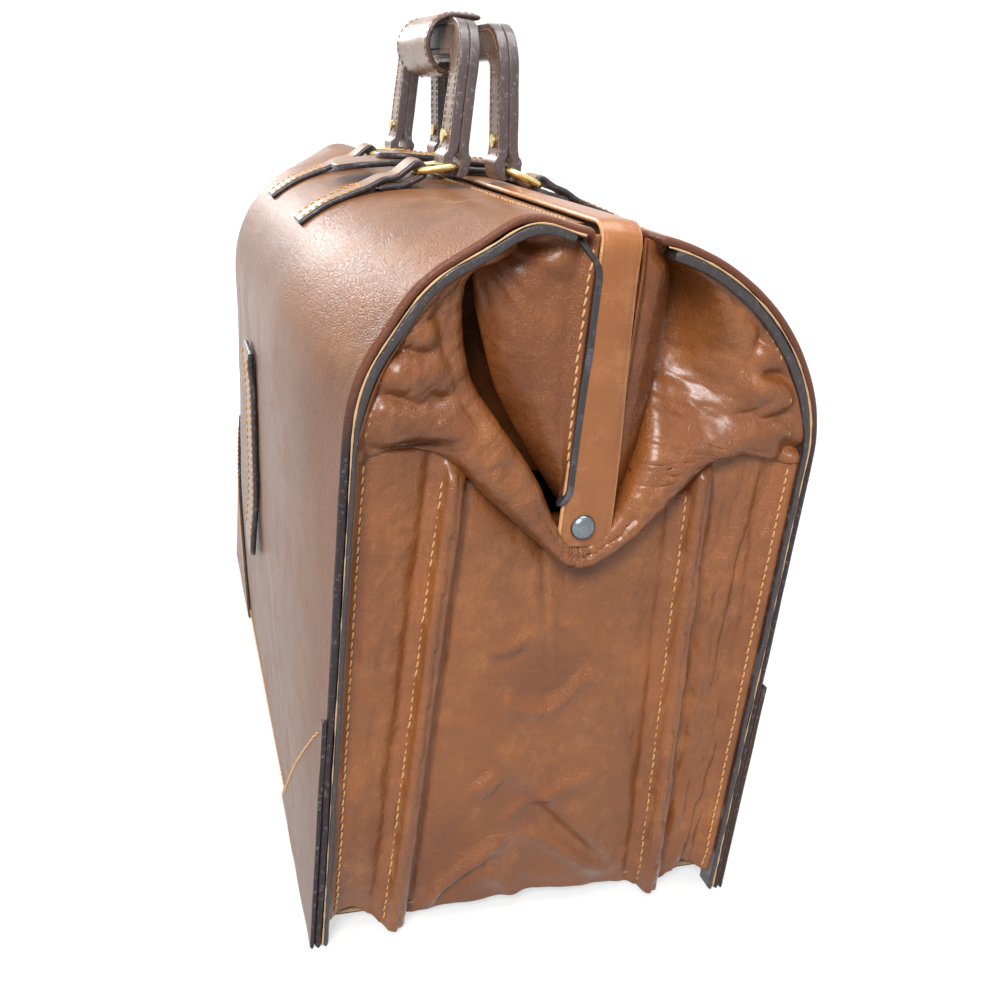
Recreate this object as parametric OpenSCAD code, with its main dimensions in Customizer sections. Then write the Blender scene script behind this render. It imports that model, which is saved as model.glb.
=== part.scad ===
// Top-frame leather briefcase, standing shut with both handles up. Millimetres.
// X runs along the body, the front panel faces -Y, Z is up, and the origin is the
// middle of the footprint on the floor.

/* [Body] */
// Length of the body over the edges of the panels
body_l = 430; // [400:5:460]
// Depth of the body over the two panels
body_d = 205; // [190:5:220]
// Height of the pivot rivets above the floor, shut
pivot_z = 200; // [190:1:210]
// Height of the crest of the arched leather
arch_top_z = 320; // [312:1:330]
// Fullness of the front arch, 2 is an ellipse
front_fullness = 2.4; // [2:0.1:2.6]
// Fullness of the back arch, 2 is an ellipse
back_fullness = 1.8; // [1.7:0.1:2.2]
// Outward swell of the stuffed arches at mid length
arch_swell = 9; // [4:0.5:10]
// Outward swell of the stuffed panels at mid length
panel_swell = 9; // [4:0.5:10]
// Angle that each half of the mouth opens
open_angle = 36; // [30:1:38]

/* [Leather] */
// Thickness of the saddle leather panels
panel_t = 3.5; // [3:0.1:4]
// Thickness of the inner edge rand
rand_t = 2.5; // [2:0.1:3]
// Width of the inner edge rand
rand_w = 10; // [9:0.5:12]
// Thickness of the lining
lining_t = 1.2; // [0.8:0.1:1.6]
// Thickness of the soft gusset leather
gusset_t = 2.5; // [2:0.1:3]
// Thickness of straps and tabs
strap_t = 3.2; // [2.8:0.1:3.6]
// Thickness of the corner patches
patch_t = 1.8; // [1.4:0.1:2.2]
// Height of the corner patches
patch_h = 118; // [90:2:130]
// Length of the corner patches along the floor
patch_l = 112; // [90:2:130]

/* [Base] */
// Height of the base leather above the floor
base_lift = 2; // [1:0.5:4]
// Thickness of the base leather
base_t = 3; // [2.5:0.1:4]
// Thickness of the stiffening board
board_t = 3; // [2:0.1:4]

/* [Gussets] */
// Setback of the gusset face from the end of the body
gusset_set = 8; // [7.5:0.1:8.4]
// Distance of the welts from the middle at the floor
welt_foot_y = 65; // [60:1:70]
// Distance of the welts from the middle at their tops
welt_top_y = 55; // [50:1:58]
// Height of the welts
welt_h = 218; // [212:1:222]
// Radius of the sewn welts
welt_r = 4.5; // [3.5:0.1:5]
// Radius of the rolled lip under the rivet
lip_r = 6; // [5:0.1:6.5]
// Drop of the lip below the rivet
lip_drop = 16; // [15:0.5:18]
// Rise of the lip from the middle to the welts
lip_rise = 31; // [26:1:34]
// Depth of the fold behind the upper gusset
wing_depth = 15; // [10:0.5:16]
// Depth inwards of the folded ply below the rivet
ply_set = 19; // [18:0.5:22]
// Height of the folded ply below the rivet
ply_h = 62; // [50:1:68]

/* [Frame] */
// Width of each steel frame half
frame_w = 8; // [7:0.2:9]
// Thickness of the steel
frame_t = 2; // [1.8:0.1:2.2]
// Setback of the steel from the end of the body
frame_set = 6.8; // [6.6:0.1:7.2]
// Depth of the steel top bar below the crest
frame_drop = 7.5; // [7:0.1:8.5]
// Corner radius of the frame
frame_r = 12; // [10:0.5:16]
// Thickness of the leather round the steel
cover_t = 1.1; // [0.9:0.1:1.2]
// Radius of the eyes round the rivets
lug_r = 6.5; // [6:0.1:7]
// Radius of the rivet shanks
pivot_r = 2; // [1.5:0.1:2.5]
// Radius of the domed rivet heads
head_r = 5.5; // [4.5:0.1:6.5]
// Height of the domed rivet heads
head_h = 2.8; // [2:0.1:3.4]
// Width of the top strip and its end tongues
strip_w = 20; // [18:0.5:22]
// Thickness of the top strip
strip_t = 2.4; // [2:0.1:2.8]
// Length of the tongues below the rivets
tongue_below = 7.5; // [7:0.1:8.5]

/* [Handles] */
// Distance of each handle leg from the middle
handle_x = 60; // [55:1:66]
// Width of a handle leg
leg_w = 18; // [16:0.5:19]
// Thickness of a handle
handle_t = 10; // [9:0.2:11]
// Height of a handle above its ring
handle_h = 66; // [60:1:72]
// Height of the grip bar
grip_h = 16; // [14:0.5:18]
// Outer corner radius of a handle
handle_r = 20; // [16:1:24]
// Lean of the back handle towards the front one
back_lean = 5; // [0:0.5:6]
// Radius of the ring wire
wire_r = 1.75; // [1.5:0.05:2]
// Length of a ring between the middles of its two bars
ring_l = 19; // [17:0.5:21]
// Width of a ring between the middles of its sides
ring_w = 27; // [26:0.5:29]
// Tilt of the front rings
front_ring_tilt = 12; // [8:1:20]
// Tilt of the back rings
back_ring_tilt = 18; // [14:1:24]
// Distance of the front tab loops from the parting
front_loop_u = 44; // [42:0.5:48]
// Distance of the back tab loops from the parting
back_loop_u = 16; // [15.5:0.5:20]
// Lift of the front tab loops above the arch
front_loop_lift = 5; // [0:0.5:7]
// Distance of the front tab ends from the parting
front_tab_u = 88; // [80:1:92]
// Distance of the back tab ends from the parting
back_tab_u = 72; // [64:1:80]
// Width of the handle tabs
tab_w = 20; // [18:0.5:20]
// Length of the grip wrap
wrap_l = 84; // [70:2:90]
// Thickness of the grip wrap
wrap_t = 2.3; // [2:0.1:2.6]

/* [Closure] */
// Width of the closure strap
closure_w = 38; // [30:1:44]
// Reach of the closure strap over the front
closure_reach = 75; // [70:1:78]
// Thickness of the closure strap
closure_t = 4; // [3:0.1:4.5]
// Reach of the strap's upper ply over the front
upper_ply_reach = 52; // [40:1:60]
// Thickness of the strap's upper ply
upper_ply_t = 3; // [2:0.1:3.4]
// Width of the front keeper tab
keeper_w = 34; // [28:1:40]
// Height of the keeper tab's top edge
keeper_top = 222; // [210:1:226]
// Height of the keeper tab's lower tip
keeper_low = 98; // [90:1:110]

/* [Hidden] */

half_l = body_l / 2;
half_d = body_d / 2;
// The arches fold outwards on the outer face of the panels, at a height where the
// rivets come back to the middle plane when the mouth is fully open.
shoulder_z = pivot_z + half_d * tan(open_angle / 2);
pivot_rise = 2 * half_d * tan(open_angle / 2);
// Half way, the arches stand this much nearer the middle than the frame halves.
shift_room = half_d * (1 / cos(open_angle / 2) - 1) + 0.4;
run_gap = 0.4;
pin_gap = 0.05;
// The plies of the arches are cut in different facets, so they keep this much apart.
glue_gap = 0.15;

crest_u = 8;
arch_steps = 20;

front_x1 = half_l - frame_set;
front_x0 = front_x1 - frame_t;
back_x1 = front_x0 - run_gap;
back_x0 = back_x1 - frame_t;
steel_u0 = 1;
steel_u1 = steel_u0 + frame_w;
cover_u0 = steel_u0 - 0.5;
cover_u1 = steel_u1 + cover_t;
steel_top = arch_top_z - frame_drop;
filler_u1 = 4.4;
strip_low = arch_top_z + 0.6;
strip_top = strip_low + strip_t;
strip_x1 = front_x1 + strip_t;
leg_foot_z = pivot_z + 12;

arch_edge_u = filler_u1 + shift_room;
notch_u = strip_w / 2 + shift_room + 0.7;
notch_x = front_x1 - frame_r - 2;
rand_edge_u = notch_u + shift_room + 1.5;
lining_edge_u = cover_u1 + shift_room + 4;
leg_strip_u0 = strip_w / 2 + 0.2;
leg_strip_top = arch_top_z - panel_t - 3.5;

gusset_x1 = half_l - gusset_set;
gusset_x0 = gusset_x1 - gusset_t;
gusset_u1 = half_d - panel_t - rand_t;
lip_low_z = pivot_z - lip_drop;
base_x = gusset_x0 - 6;
wing_x = half_l - gusset_set - gusset_t / 2 - lip_r - 0.5;
wing_t = 2;
wing_foot = [14, pivot_z - 6];
wing_sag = 12;
wing_head = [8.5, steel_top - frame_t - cover_t - 3];
ply_t = 2;
rivet_tail = 1.2;
washer_t = 0.8;
washer_r = 5;
washer_x1 = back_x0 - 0.2;
washer_x0 = washer_x1 - washer_t;
tail_x0 = washer_x0 - rivet_tail;

board_z = base_lift + base_t;
lining_z = board_z + board_t;
bore_r = wire_r + 0.1;
loop_r = bore_r + 3;
eye_r = handle_t / 2;
closure_low = strip_top + 1.2;
closure_drop = 5;
closure_root_u = 36;
closure_hinge = [16, closure_low];
tip_low = closure_low - closure_drop;

// A (y, z) outline carried along X
module across(x0, x1)
    translate([x0, 0, 0]) rotate([90, 0, 90]) linear_extrude(x1 - x0) children();

// An (x, z) outline carried along Y
module through(y0, y1)
    translate([0, y1, 0]) rotate([90, 0, 0]) linear_extrude(y1 - y0) children();

module to_front() mirror([0, 1, 0]) children();

module both_ends() {
    children();
    mirror([1, 0, 0]) children();
}

// Arch outline: u is the distance from the parting, off the distance outside the leather
function arch_x(a, n) = pow(cos(a), 2 / n);
function arch_h(a, n) = pow(sin(a), 2 / n);
function arch_pt(a, n, off) =
    let (x = arch_x(a, n), h = arch_h(a, n), ay = half_d - crest_u, az = arch_top_z - shoulder_z)
    let (nx = pow(x, n - 1) / ay, nz = pow(h, n - 1) / az, s = norm([nx, nz]))
    [crest_u + ay * x + off * nx / s, shoulder_z + az * h + off * nz / s];
function arch_angle(u, n) = acos(pow((u - crest_u) / (half_d - crest_u), n / 2));
function arch_run(a0, a1, n, off, steps) =
    [for (i = [0:steps]) arch_pt(a0 + (a1 - a0) * i / steps, n, off)];
function turned(list) = [for (i = [len(list) - 1:-1:0]) list[i]];

// The swell fades to nothing at both ends, at the shoulder fold and before the parting
swell_end = 68;
swell_cols = 12;
function swell(x, a) = a >= swell_end ? 0
    : arch_swell * pow(1 - pow(min(1, abs(x) / half_l), 3), 1.5) * pow(sin(180 * a / swell_end), 1.5);
function swell_x(x1) = concat([-x1],
    [for (i = [1:swell_cols - 1]) half_l * (2 * i / swell_cols - 1)], [x1]);
function arch_grid(x1, off, a1, n) = [for (x = swell_x(x1), j = [0:arch_steps])
    let (a = a1 * j / arch_steps, p = arch_pt(a, n, off + swell(x, a))) [x, p[0], p[1]]];

module arch_band(off0, off1, a0, a1, n, steps = arch_steps)
    polygon(concat(arch_run(a0, a1, n, off1, steps), turned(arch_run(a0, a1, n, off0, steps))));

// A closed skin between two grids of points with m points in each of their rows
function cell(i, j, m) = i * m + j;
function skin_faces(k, m) =
    let (s = k * m)
    concat(
        [for (i = [0:k - 2], j = [0:m - 2]) each [
            [cell(i, j, m), cell(i + 1, j, m), cell(i + 1, j + 1, m)],
            [cell(i, j, m), cell(i + 1, j + 1, m), cell(i, j + 1, m)],
            [s + cell(i, j, m), s + cell(i + 1, j + 1, m), s + cell(i + 1, j, m)],
            [s + cell(i, j, m), s + cell(i, j + 1, m), s + cell(i + 1, j + 1, m)]]],
        [for (i = [0:k - 2]) each [
            [cell(i, 0, m), s + cell(i, 0, m), s + cell(i + 1, 0, m)],
            [cell(i, 0, m), s + cell(i + 1, 0, m), cell(i + 1, 0, m)],
            [cell(i, m - 1, m), s + cell(i + 1, m - 1, m), s + cell(i, m - 1, m)],
            [cell(i, m - 1, m), cell(i + 1, m - 1, m), s + cell(i + 1, m - 1, m)]]],
        [for (j = [0:m - 2]) each [
            [cell(0, j, m), s + cell(0, j + 1, m), s + cell(0, j, m)],
            [cell(0, j, m), cell(0, j + 1, m), s + cell(0, j + 1, m)],
            [cell(k - 1, j, m), s + cell(k - 1, j, m), s + cell(k - 1, j + 1, m)],
            [cell(k - 1, j, m), s + cell(k - 1, j + 1, m), cell(k - 1, j + 1, m)]]]);

// A rounded-top rectangle standing on z = 0, half as wide as w
module arched_plate(w, top, r) {
    translate([-w, 0]) square([2 * w, top - r]);
    translate([-w + r, 0]) square([2 * (w - r), top]);
    for (s = [-1, 1]) translate([s * (w - r), top - r]) circle(r, $fn = 48);
}

// The panels swell between the corner patches and the shoulder fold
lining_x = gusset_x0 - 0.5;
bulge_z0 = patch_h + 1;
bulge_rows = 10;
function bulge(x, z) = panel_swell * pow(1 - pow(min(1, abs(x) / half_l), 3), 1.5)
    * pow(max(0, sin(180 * (z - bulge_z0) / (shoulder_z - bulge_z0))), 1.5);
function bulge_x(x1) = x1 > lining_x ? concat([-x1], swell_x(lining_x), [x1]) : swell_x(x1);
function bulge_z() = [for (j = [0:bulge_rows]) bulge_z0 + (shoulder_z - bulge_z0) * j / bulge_rows];
function bulge_grid(x1, y, z0) = [for (x = bulge_x(x1), z = concat([z0], bulge_z()))
    [x, y + (z < bulge_z0 ? 0 : bulge(x, z)), z]];
function bulge_mid(z) = z < bulge_z0 ? 0 : lookup(z, [for (h = bulge_z()) [h, bulge(0, h)]]);
module bulged(x1, y0, y1, z0)
    polyhedron(concat(bulge_grid(x1, y1, z0), bulge_grid(x1, y0, z0)),
        skin_faces(len(bulge_x(x1)), bulge_rows + 2));

module panel() bulged(half_l, half_d - panel_t, half_d, 0);

module panel_lining()
    bulged(lining_x, half_d - panel_t - lining_t, half_d - panel_t, lining_z + lining_t);

module panel_rands() both_ends() across(half_l - rand_w, half_l)
    translate([gusset_u1, 0.3]) square([rand_t, shoulder_z - 0.3]);

module corner_patches() both_ends() through(half_d, half_d + patch_t)
    polygon([[half_l, 0.4], [half_l, patch_h], [half_l - 8, patch_h - 4],
        [half_l - patch_l + 4, 8], [half_l - patch_l, 0.4]]);

// A swollen sheet between two offsets from the arch outline
module swollen(x1, off0, off1, a1, n)
    polyhedron(concat(arch_grid(x1, off1, a1, n), arch_grid(x1, off0, a1, n)),
        skin_faces(swell_cols + 1, arch_steps + 1));

module arch(n) {
    swollen(half_l, -panel_t, 0, arch_angle(notch_u, n), n);
    across(-notch_x, notch_x)
        arch_band(-panel_t, 0, arch_angle(notch_u, n), arch_angle(arch_edge_u, n), n, 3);
}

module arch_lining(n)
    swollen(gusset_x0 - 0.5, -panel_t - lining_t, -panel_t - glue_gap, arch_angle(lining_edge_u, n), n);

module arch_rands(n) both_ends() across(half_l - rand_w, half_l)
    arch_band(-panel_t - rand_t, -panel_t - glue_gap, 0, arch_angle(rand_edge_u, n), n);

// Rolled lip of the gusset, sagging from the welts to below the rivet
function lip_z(u) = lip_low_z + lip_rise * pow(abs(u) / welt_top_y, 1.4);
lip_end_u = welt_top_y - welt_r - 0.7 * lip_r;
lip_x = (gusset_x0 + gusset_x1) / 2;
lip_rings = 24;
lip_sides = 12;
lip_pts = [for (i = [0:lip_rings], j = [0:lip_sides - 1])
    let (u = -lip_end_u + 2 * lip_end_u * i / lip_rings)
    let (slope = atan((lip_z(u + 0.5) - lip_z(u - 0.5))), a = 360 * j / lip_sides)
    [lip_x + lip_r * cos(a), u - lip_r * sin(a) * sin(slope), lip_z(u) + lip_r * sin(a) * cos(slope)]];
lip_faces = concat(
    [for (i = [0:lip_rings - 1], j = [0:lip_sides - 1]) let (k = (j + 1) % lip_sides) each [
        [i * lip_sides + j, i * lip_sides + k, (i + 1) * lip_sides + k],
        [i * lip_sides + j, (i + 1) * lip_sides + k, (i + 1) * lip_sides + j]]],
    [for (j = [1:lip_sides - 2]) each [
        [0, j + 1, j],
        [lip_rings * lip_sides, lip_rings * lip_sides + j, lip_rings * lip_sides + j + 1]]]);

// The foot of the gusset stands on the welts and is drawn up between and beside them
foot_half = [[0, 8], [welt_foot_y * 0.7, 5], [welt_foot_y - 5, 2], [welt_foot_y + 7, 2.5],
    [(welt_foot_y + gusset_u1) / 2 + 3, 13], [gusset_u1, 9]];

module gusset() {
    across(gusset_x0, gusset_x1) polygon(concat(
        [for (i = [5:-1:1]) [-foot_half[i][0], foot_half[i][1]]], foot_half,
        [[gusset_u1, shoulder_z - 1]],
        [for (i = [10:-1:-10]) [lip_end_u * i / 10, lip_z(lip_end_u * i / 10)]],
        [[-gusset_u1, shoulder_z - 1]]));
    polyhedron(lip_pts, lip_faces);
}

module gusset_welts() difference() {
    for (s = [-1, 1]) {
        lean = atan((welt_foot_y - welt_top_y) / welt_h);
        translate([gusset_x1 + 1, s * welt_foot_y, 0.3]) rotate([s * lean, 0, 0]) {
            cylinder(h = welt_h - welt_r, r = welt_r, $fn = 32);
            translate([0, 0, welt_h - welt_r]) sphere(welt_r, $fn = 32);
        }
    }
    translate([gusset_x1 - 20, -body_d, -10]) cube([20, 2 * body_d, body_l]);
    translate([0, -body_d, -20]) cube([body_l, 2 * body_d, 20.3]);
}

// Folded ply of the gusset, hung from the rivet tail behind the lip
module gusset_ply() intersection() {
    through(-body_d, body_d) polygon([
        [tail_x0, pivot_z + 5], [tail_x0, pivot_z - 4],
        [tail_x0 - ply_set + ply_t, pivot_z - 18], [tail_x0 - ply_set + ply_t, pivot_z - ply_h],
        [tail_x0 - ply_set, pivot_z - ply_h], [tail_x0 - ply_set, pivot_z - 17],
        [tail_x0 - ply_t, pivot_z - 3], [tail_x0 - ply_t, pivot_z + 5]]);
    across(0, half_l) polygon([
        [7, pivot_z + 5], [8, pivot_z - 6], [12, pivot_z - 13], [58, pivot_z - 24],
        [64, pivot_z - ply_h], [-64, pivot_z - ply_h], [-58, pivot_z - 24],
        [-12, pivot_z - 13], [-8, pivot_z - 6], [-7, pivot_z + 5]]);
}

// Upper gusset between frame leg and arch edge, folded inwards along a crease
wing_rows = 10;
wing_cols = 12;
function wing_in(t) = wing_foot + (wing_head - wing_foot) * t;
function wing_out(t, n) = arch_pt(arch_angle(rand_edge_u + 2, n) * t, n, -panel_t - lining_t - 0.3)
    + [0, (1 - t) * 1.2];
function wing_drop(s, t) = wing_sag * sin(180 * s) * pow(1 - t, 3);
function wing_fold(s, t) = wing_depth * (1 - 0.75 * t) * pow(sin(180 * pow(s, 0.75)), 1.3);
function wing_grid(n, back) = [for (i = [0:wing_rows], j = [0:wing_cols])
    let (t = i / wing_rows, s = j / wing_cols)
    let (p = wing_in(t) + (wing_out(t, n) - wing_in(t)) * s)
    [wing_x - wing_fold(s, t) - (back ? wing_t : 0), p[0], p[1] - wing_drop(s, t)]];

module wing(n) polyhedron(concat(wing_grid(n, false), wing_grid(n, true)),
    skin_faces(wing_rows + 1, wing_cols + 1));

// One steel frame half: top bar, two legs and the eyes round the rivets
module frame_half(x1, x0) difference() {
    union() {
        through(steel_u0, steel_u1) difference() {
            arched_plate(x1, steel_top, frame_r);
            arched_plate(x0, steel_top - frame_t, frame_r - frame_t);
            translate([-body_l, -1]) square([2 * body_l, pivot_z + 5]);
        }
        both_ends() translate([x0, 0, pivot_z]) rotate([0, 90, 0])
            cylinder(h = x1 - x0, r = lug_r, $fn = 48);
    }
    translate([-body_l, 0, pivot_z]) rotate([0, 90, 0])
        cylinder(h = 2 * body_l, r = pivot_r + pin_gap, $fn = 32);
}

// Leather round the steel, with the folded ridge that carries the top leather
module frame_cover(x1, x0, outer) {
    difference() {
        through(cover_u0, cover_u1) difference() {
            arched_plate(outer, steel_top + cover_t, frame_r);
            arched_plate(x0 - cover_t, steel_top - frame_t - cover_t, frame_r - frame_t);
            translate([-body_l, -1]) square([2 * body_l, leg_foot_z + 1]);
        }
        through(steel_u0, steel_u1) difference() {
            arched_plate(x1, steel_top, frame_r);
            arched_plate(x0, steel_top - frame_t, frame_r - frame_t);
        }
    }
    through(cover_u0, filler_u1) difference() {
        arched_plate(front_x1 - 0.2, strip_low, frame_r);
        arched_plate(outer, steel_top + cover_t, frame_r);
        translate([-body_l, -1]) square([2 * body_l, steel_top - frame_r]);
    }
}

module leg_strips(n) both_ends() across(back_x1, strip_x1)
    polygon([[cover_u1, leg_foot_z], [leg_strip_u0 + 1, leg_foot_z],
        [notch_u - 0.8, leg_strip_top - 6], [notch_u - 0.8, leg_strip_top], [cover_u1, leg_strip_top]]);

module strip_body() {
    through(-strip_w / 2, strip_w / 2) difference() {
        arched_plate(strip_x1, strip_top, frame_r + strip_t);
        arched_plate(front_x1, strip_low, frame_r);
        translate([-body_l, -1]) square([2 * body_l, pivot_z + 1]);
    }
    both_ends() across(front_x1, strip_x1) {
        translate([-strip_w / 2, pivot_z - tongue_below + 6])
            square([strip_w, tongue_below - 6 + 1]);
        translate([-strip_w / 2 + 6, pivot_z - tongue_below]) square([strip_w - 12, 6]);
        for (s = [-1, 1]) translate([s * (strip_w / 2 - 6), pivot_z - tongue_below + 6])
            circle(6, $fn = 32);
    }
}

function loop_at(u, n, lift) = arch_pt(arch_angle(u, n), n, loop_r + 0.4 + lift);
function tab_rise(a) = swell(handle_x - tab_w / 2, a) + glue_gap;
function tab_run(a0, a1, n, off) = [for (i = [0:tab_steps])
    let (a = a0 + (a1 - a0) * i / tab_steps) arch_pt(a, n, off + tab_rise(a))];
tab_steps = 12;

module handle_tabs(n, loop_u, end_u, lift) {
    a0 = arch_angle(end_u, n);
    a1 = arch_angle(loop_u + 2.5 * lift, n);
    c = loop_at(loop_u, n, lift);
    both_ends() across(handle_x - tab_w / 2, handle_x + tab_w / 2) difference() {
        union() {
            polygon(concat(tab_run(a0, a1, n, strap_t), turned(tab_run(a0, a1, n, 0))));
            polygon([arch_pt(a1, n, tab_rise(a1)), c, c + [0, loop_r],
                arch_pt(a1, n, strap_t + tab_rise(a1))]);
            translate(c) circle(loop_r, $fn = 48);
        }
        translate(c) circle(bore_r, $fn = 32);
    }
}

// A rectangular wire ring in its own plane: first bar on Y = 0, second bar on Y = ring_l
module wire_ring() {
    r = 3;
    for (y = [0, ring_l]) translate([-ring_w / 2 + r, y, 0]) rotate([0, 90, 0])
        cylinder(h = ring_w - 2 * r, r = wire_r, $fn = 24);
    for (x = [-1, 1]) translate([x * ring_w / 2, r, 0]) rotate([-90, 0, 0])
        cylinder(h = ring_l - 2 * r, r = wire_r, $fn = 24);
    for (x = [0, 1], y = [0, 1]) mirror([x, 0, 0])
        translate([ring_w / 2 - r, y == 1 ? ring_l - r : r, 0]) mirror([0, 1 - y, 0])
            rotate_extrude(angle = 90, $fn = 48) translate([r, 0]) circle(wire_r, $fn = 24);
}

front_loop = loop_at(front_loop_u, front_fullness, front_loop_lift);
back_loop = loop_at(back_loop_u, back_fullness, 0);
front_eye = [front_loop[0] - ring_l * cos(front_ring_tilt), front_loop[1] + ring_l * sin(front_ring_tilt)];
back_eye = [back_loop[0] - ring_l * cos(back_ring_tilt), back_loop[1] + ring_l * sin(back_ring_tilt)];

module handle_rings(at, tilt) for (s = [-1, 1])
    translate([s * handle_x, at[0], at[1]]) rotate([180 - tilt, 0, 0]) wire_ring();

// A handle with its eyes on the X axis, standing up in Z
module handle_shape() difference() {
    union() {
        through(-handle_t / 2, handle_t / 2) difference() {
            arched_plate(handle_x + leg_w / 2, handle_h, handle_r);
            arched_plate(handle_x - leg_w / 2, handle_h - grip_h, handle_r - 8);
        }
        for (s = [-1, 1]) translate([s * handle_x - leg_w / 2, 0, 0]) rotate([0, 90, 0])
            cylinder(h = leg_w, r = eye_r, $fn = 48);
    }
    translate([-body_l, 0, 0]) rotate([0, 90, 0]) cylinder(h = 2 * body_l, r = bore_r, $fn = 32);
    for (s = [-1, 1]) translate([s * handle_x, 0, rivet_up]) rotate([90, 0, 0])
        cylinder(h = 2 * handle_t, r = rivet_r, center = true, $fn = 24);
}

rivet_up = 13;
rivet_r = 1.5;
module handle_rivet_shape() for (s = [-1, 1]) translate([s * handle_x, 0, rivet_up]) rotate([90, 0, 0]) {
    cylinder(h = handle_t, r = rivet_r, center = true, $fn = 24);
    for (e = [-1, 1]) translate([0, 0, e * (handle_t / 2 + 0.5)])
        cylinder(h = 1, r = 3.2, center = true, $fn = 32);
}

module at_front_eye() translate([0, -front_eye[0], front_eye[1]]) children();
module at_back_eye() translate([0, back_eye[0], back_eye[1]]) rotate([back_lean, 0, 0]) children();

// Grip wrap: a flat top that curls down round the outer side of the front grip
wrap_axis_y = handle_t / 2 + 0.3;
wrap_r = 10.9;
module grip_wrap_shape() across(-wrap_l / 2, wrap_l / 2)
    translate([wrap_axis_y, handle_h + 0.4]) {
        c = [-6.5, -10];
        translate([-6.5, wrap_r - 10]) square([12.5, wrap_t]);
        polygon(concat(
            [for (i = [0:20]) let (a = 90 + 195 * i / 20) c + (wrap_r + wrap_t) * [cos(a), sin(a)]],
            [for (i = [20:-1:0]) let (a = 90 + 195 * i / 20) c + wrap_r * [cos(a), sin(a)]]));
    }

// The strap in front of its bend, and the root sewn on the back arch behind it
module closure_strap_shape() intersection() {
    across(-closure_w / 2, closure_w / 2) polygon([
        [-closure_reach, tip_low], [-14, closure_low], [closure_hinge[0] - 0.3, closure_low],
        [closure_hinge[0] - 0.3, closure_low + closure_t],
        [-14, closure_low + closure_t], [-closure_reach, tip_low + closure_t]]);
    translate([0, 0, arch_top_z - 60]) linear_extrude(120) {
        translate([-closure_w / 2, -closure_reach + closure_w / 2])
            square([closure_w, closure_reach + 60]);
        translate([0, -closure_reach + closure_w / 2]) circle(closure_w / 2, $fn = 64);
    }
}

module closure_root_shape() {
    a0 = arch_angle(closure_root_u, back_fullness);
    a1 = arch_angle(closure_hinge[0] + 3, back_fullness);
    across(-closure_w / 2, closure_w / 2) polygon(concat(
        arch_run(a0, a1, back_fullness, 0, 6),
        [[closure_hinge[0] + 0.1, closure_low - 0.6], [closure_hinge[0] + 0.1, closure_low + closure_t]],
        turned(arch_run(a0, a1, back_fullness, closure_t, 6))));
}

// Shorter upper ply that lies on the strap and ends before its tip
module closure_ply_shape() {
    top = closure_low + closure_t;
    drop = closure_drop * (upper_ply_reach - 14) / (closure_reach - 14);
    across(-closure_w / 2 + 2, closure_w / 2 - 2) polygon([
        [-upper_ply_reach, top - drop], [-14, top], [closure_hinge[0] - 3, top],
        [closure_hinge[0] - 3, top + upper_ply_t * 0.5], [-14, top + upper_ply_t],
        [-upper_ply_reach, top - drop + upper_ply_t]]);
}

function keeper_bow(z) = z < keeper_low + 52 ? 3.6 * sin(180 * (z - keeper_low) / 52) : 0;
module keeper_tab_shape()
    let (levels = concat([keeper_low, keeper_low + 8], [for (z = bulge_z()) if (z < keeper_top - 2) z]),
        lift = [for (z = levels) half_d + bulge_mid(z)])
    across(-keeper_w / 2, keeper_w / 2) polygon(concat(
        [for (i = [0:len(levels) - 1]) [lift[i], levels[i]]],
        [[half_d + bulge_mid(keeper_top), keeper_top]],
        [[half_d + bulge_mid(keeper_top - 1) + strap_t, keeper_top - 1]],
        [for (i = [len(levels) - 1:-1:1])
            [lift[i] + strap_t + keeper_bow(levels[i]), levels[i]]],
        [[half_d + strap_t, keeper_low + 2]]));

module base_board() color("tan")
    translate([-base_x, -half_d + panel_t, board_z])
        cube([2 * base_x, body_d - 2 * panel_t, board_t]);

module base_leather() color("saddlebrown")
    translate([-base_x, -half_d + panel_t, base_lift])
        cube([2 * base_x, body_d - 2 * panel_t, base_t]);

module base_lining() color("burlywood")
    translate([-gusset_x0 + 0.3, -half_d + panel_t, lining_z])
        cube([2 * gusset_x0 - 0.6, body_d - 2 * panel_t, lining_t]);

module front_panel() color("sienna") to_front() panel();
module back_panel() color("sienna") panel();
module front_panel_lining() color("burlywood") to_front() panel_lining();
module back_panel_lining() color("burlywood") panel_lining();
module front_panel_rands() color("#2b2523") to_front() panel_rands();
module back_panel_rands() color("#2b2523") panel_rands();
module front_corner_patches() color("#7a452a") to_front() corner_patches();
module back_corner_patches() color("#7a452a") corner_patches();
module front_keeper_tab() color("#5d3521") to_front() keeper_tab_shape();
module right_gusset() color("peru") gusset();
module left_gusset() color("peru") mirror([1, 0, 0]) gusset();
module right_gusset_welts() color("#a8703f") gusset_welts();
module left_gusset_welts() color("#a8703f") mirror([1, 0, 0]) gusset_welts();
module right_gusset_ply() color("#8a5a34") gusset_ply();
module left_gusset_ply() color("#8a5a34") mirror([1, 0, 0]) gusset_ply();
module right_back_wing() color("#b5773f") wing(back_fullness);
module right_front_wing() color("#b5773f") to_front() wing(front_fullness);
module left_back_wing() color("#b5773f") mirror([1, 0, 0]) wing(back_fullness);
module left_front_wing() color("#b5773f") mirror([1, 0, 0]) to_front() wing(front_fullness);
module front_arch() color("sienna") to_front() arch(front_fullness);
module back_arch() color("sienna") arch(back_fullness);
module front_arch_lining() color("burlywood") to_front() arch_lining(front_fullness);
module back_arch_lining() color("burlywood") arch_lining(back_fullness);
module front_arch_rands() color("#2b2523") to_front() arch_rands(front_fullness);
module back_arch_rands() color("#2b2523") arch_rands(back_fullness);
module front_frame() color("silver") to_front() frame_half(front_x1, front_x0);
module back_frame() color("silver") frame_half(back_x1, back_x0);
module front_frame_cover() color("#6b3f27") to_front() frame_cover(front_x1, front_x0, front_x1 - 0.2);
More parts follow.
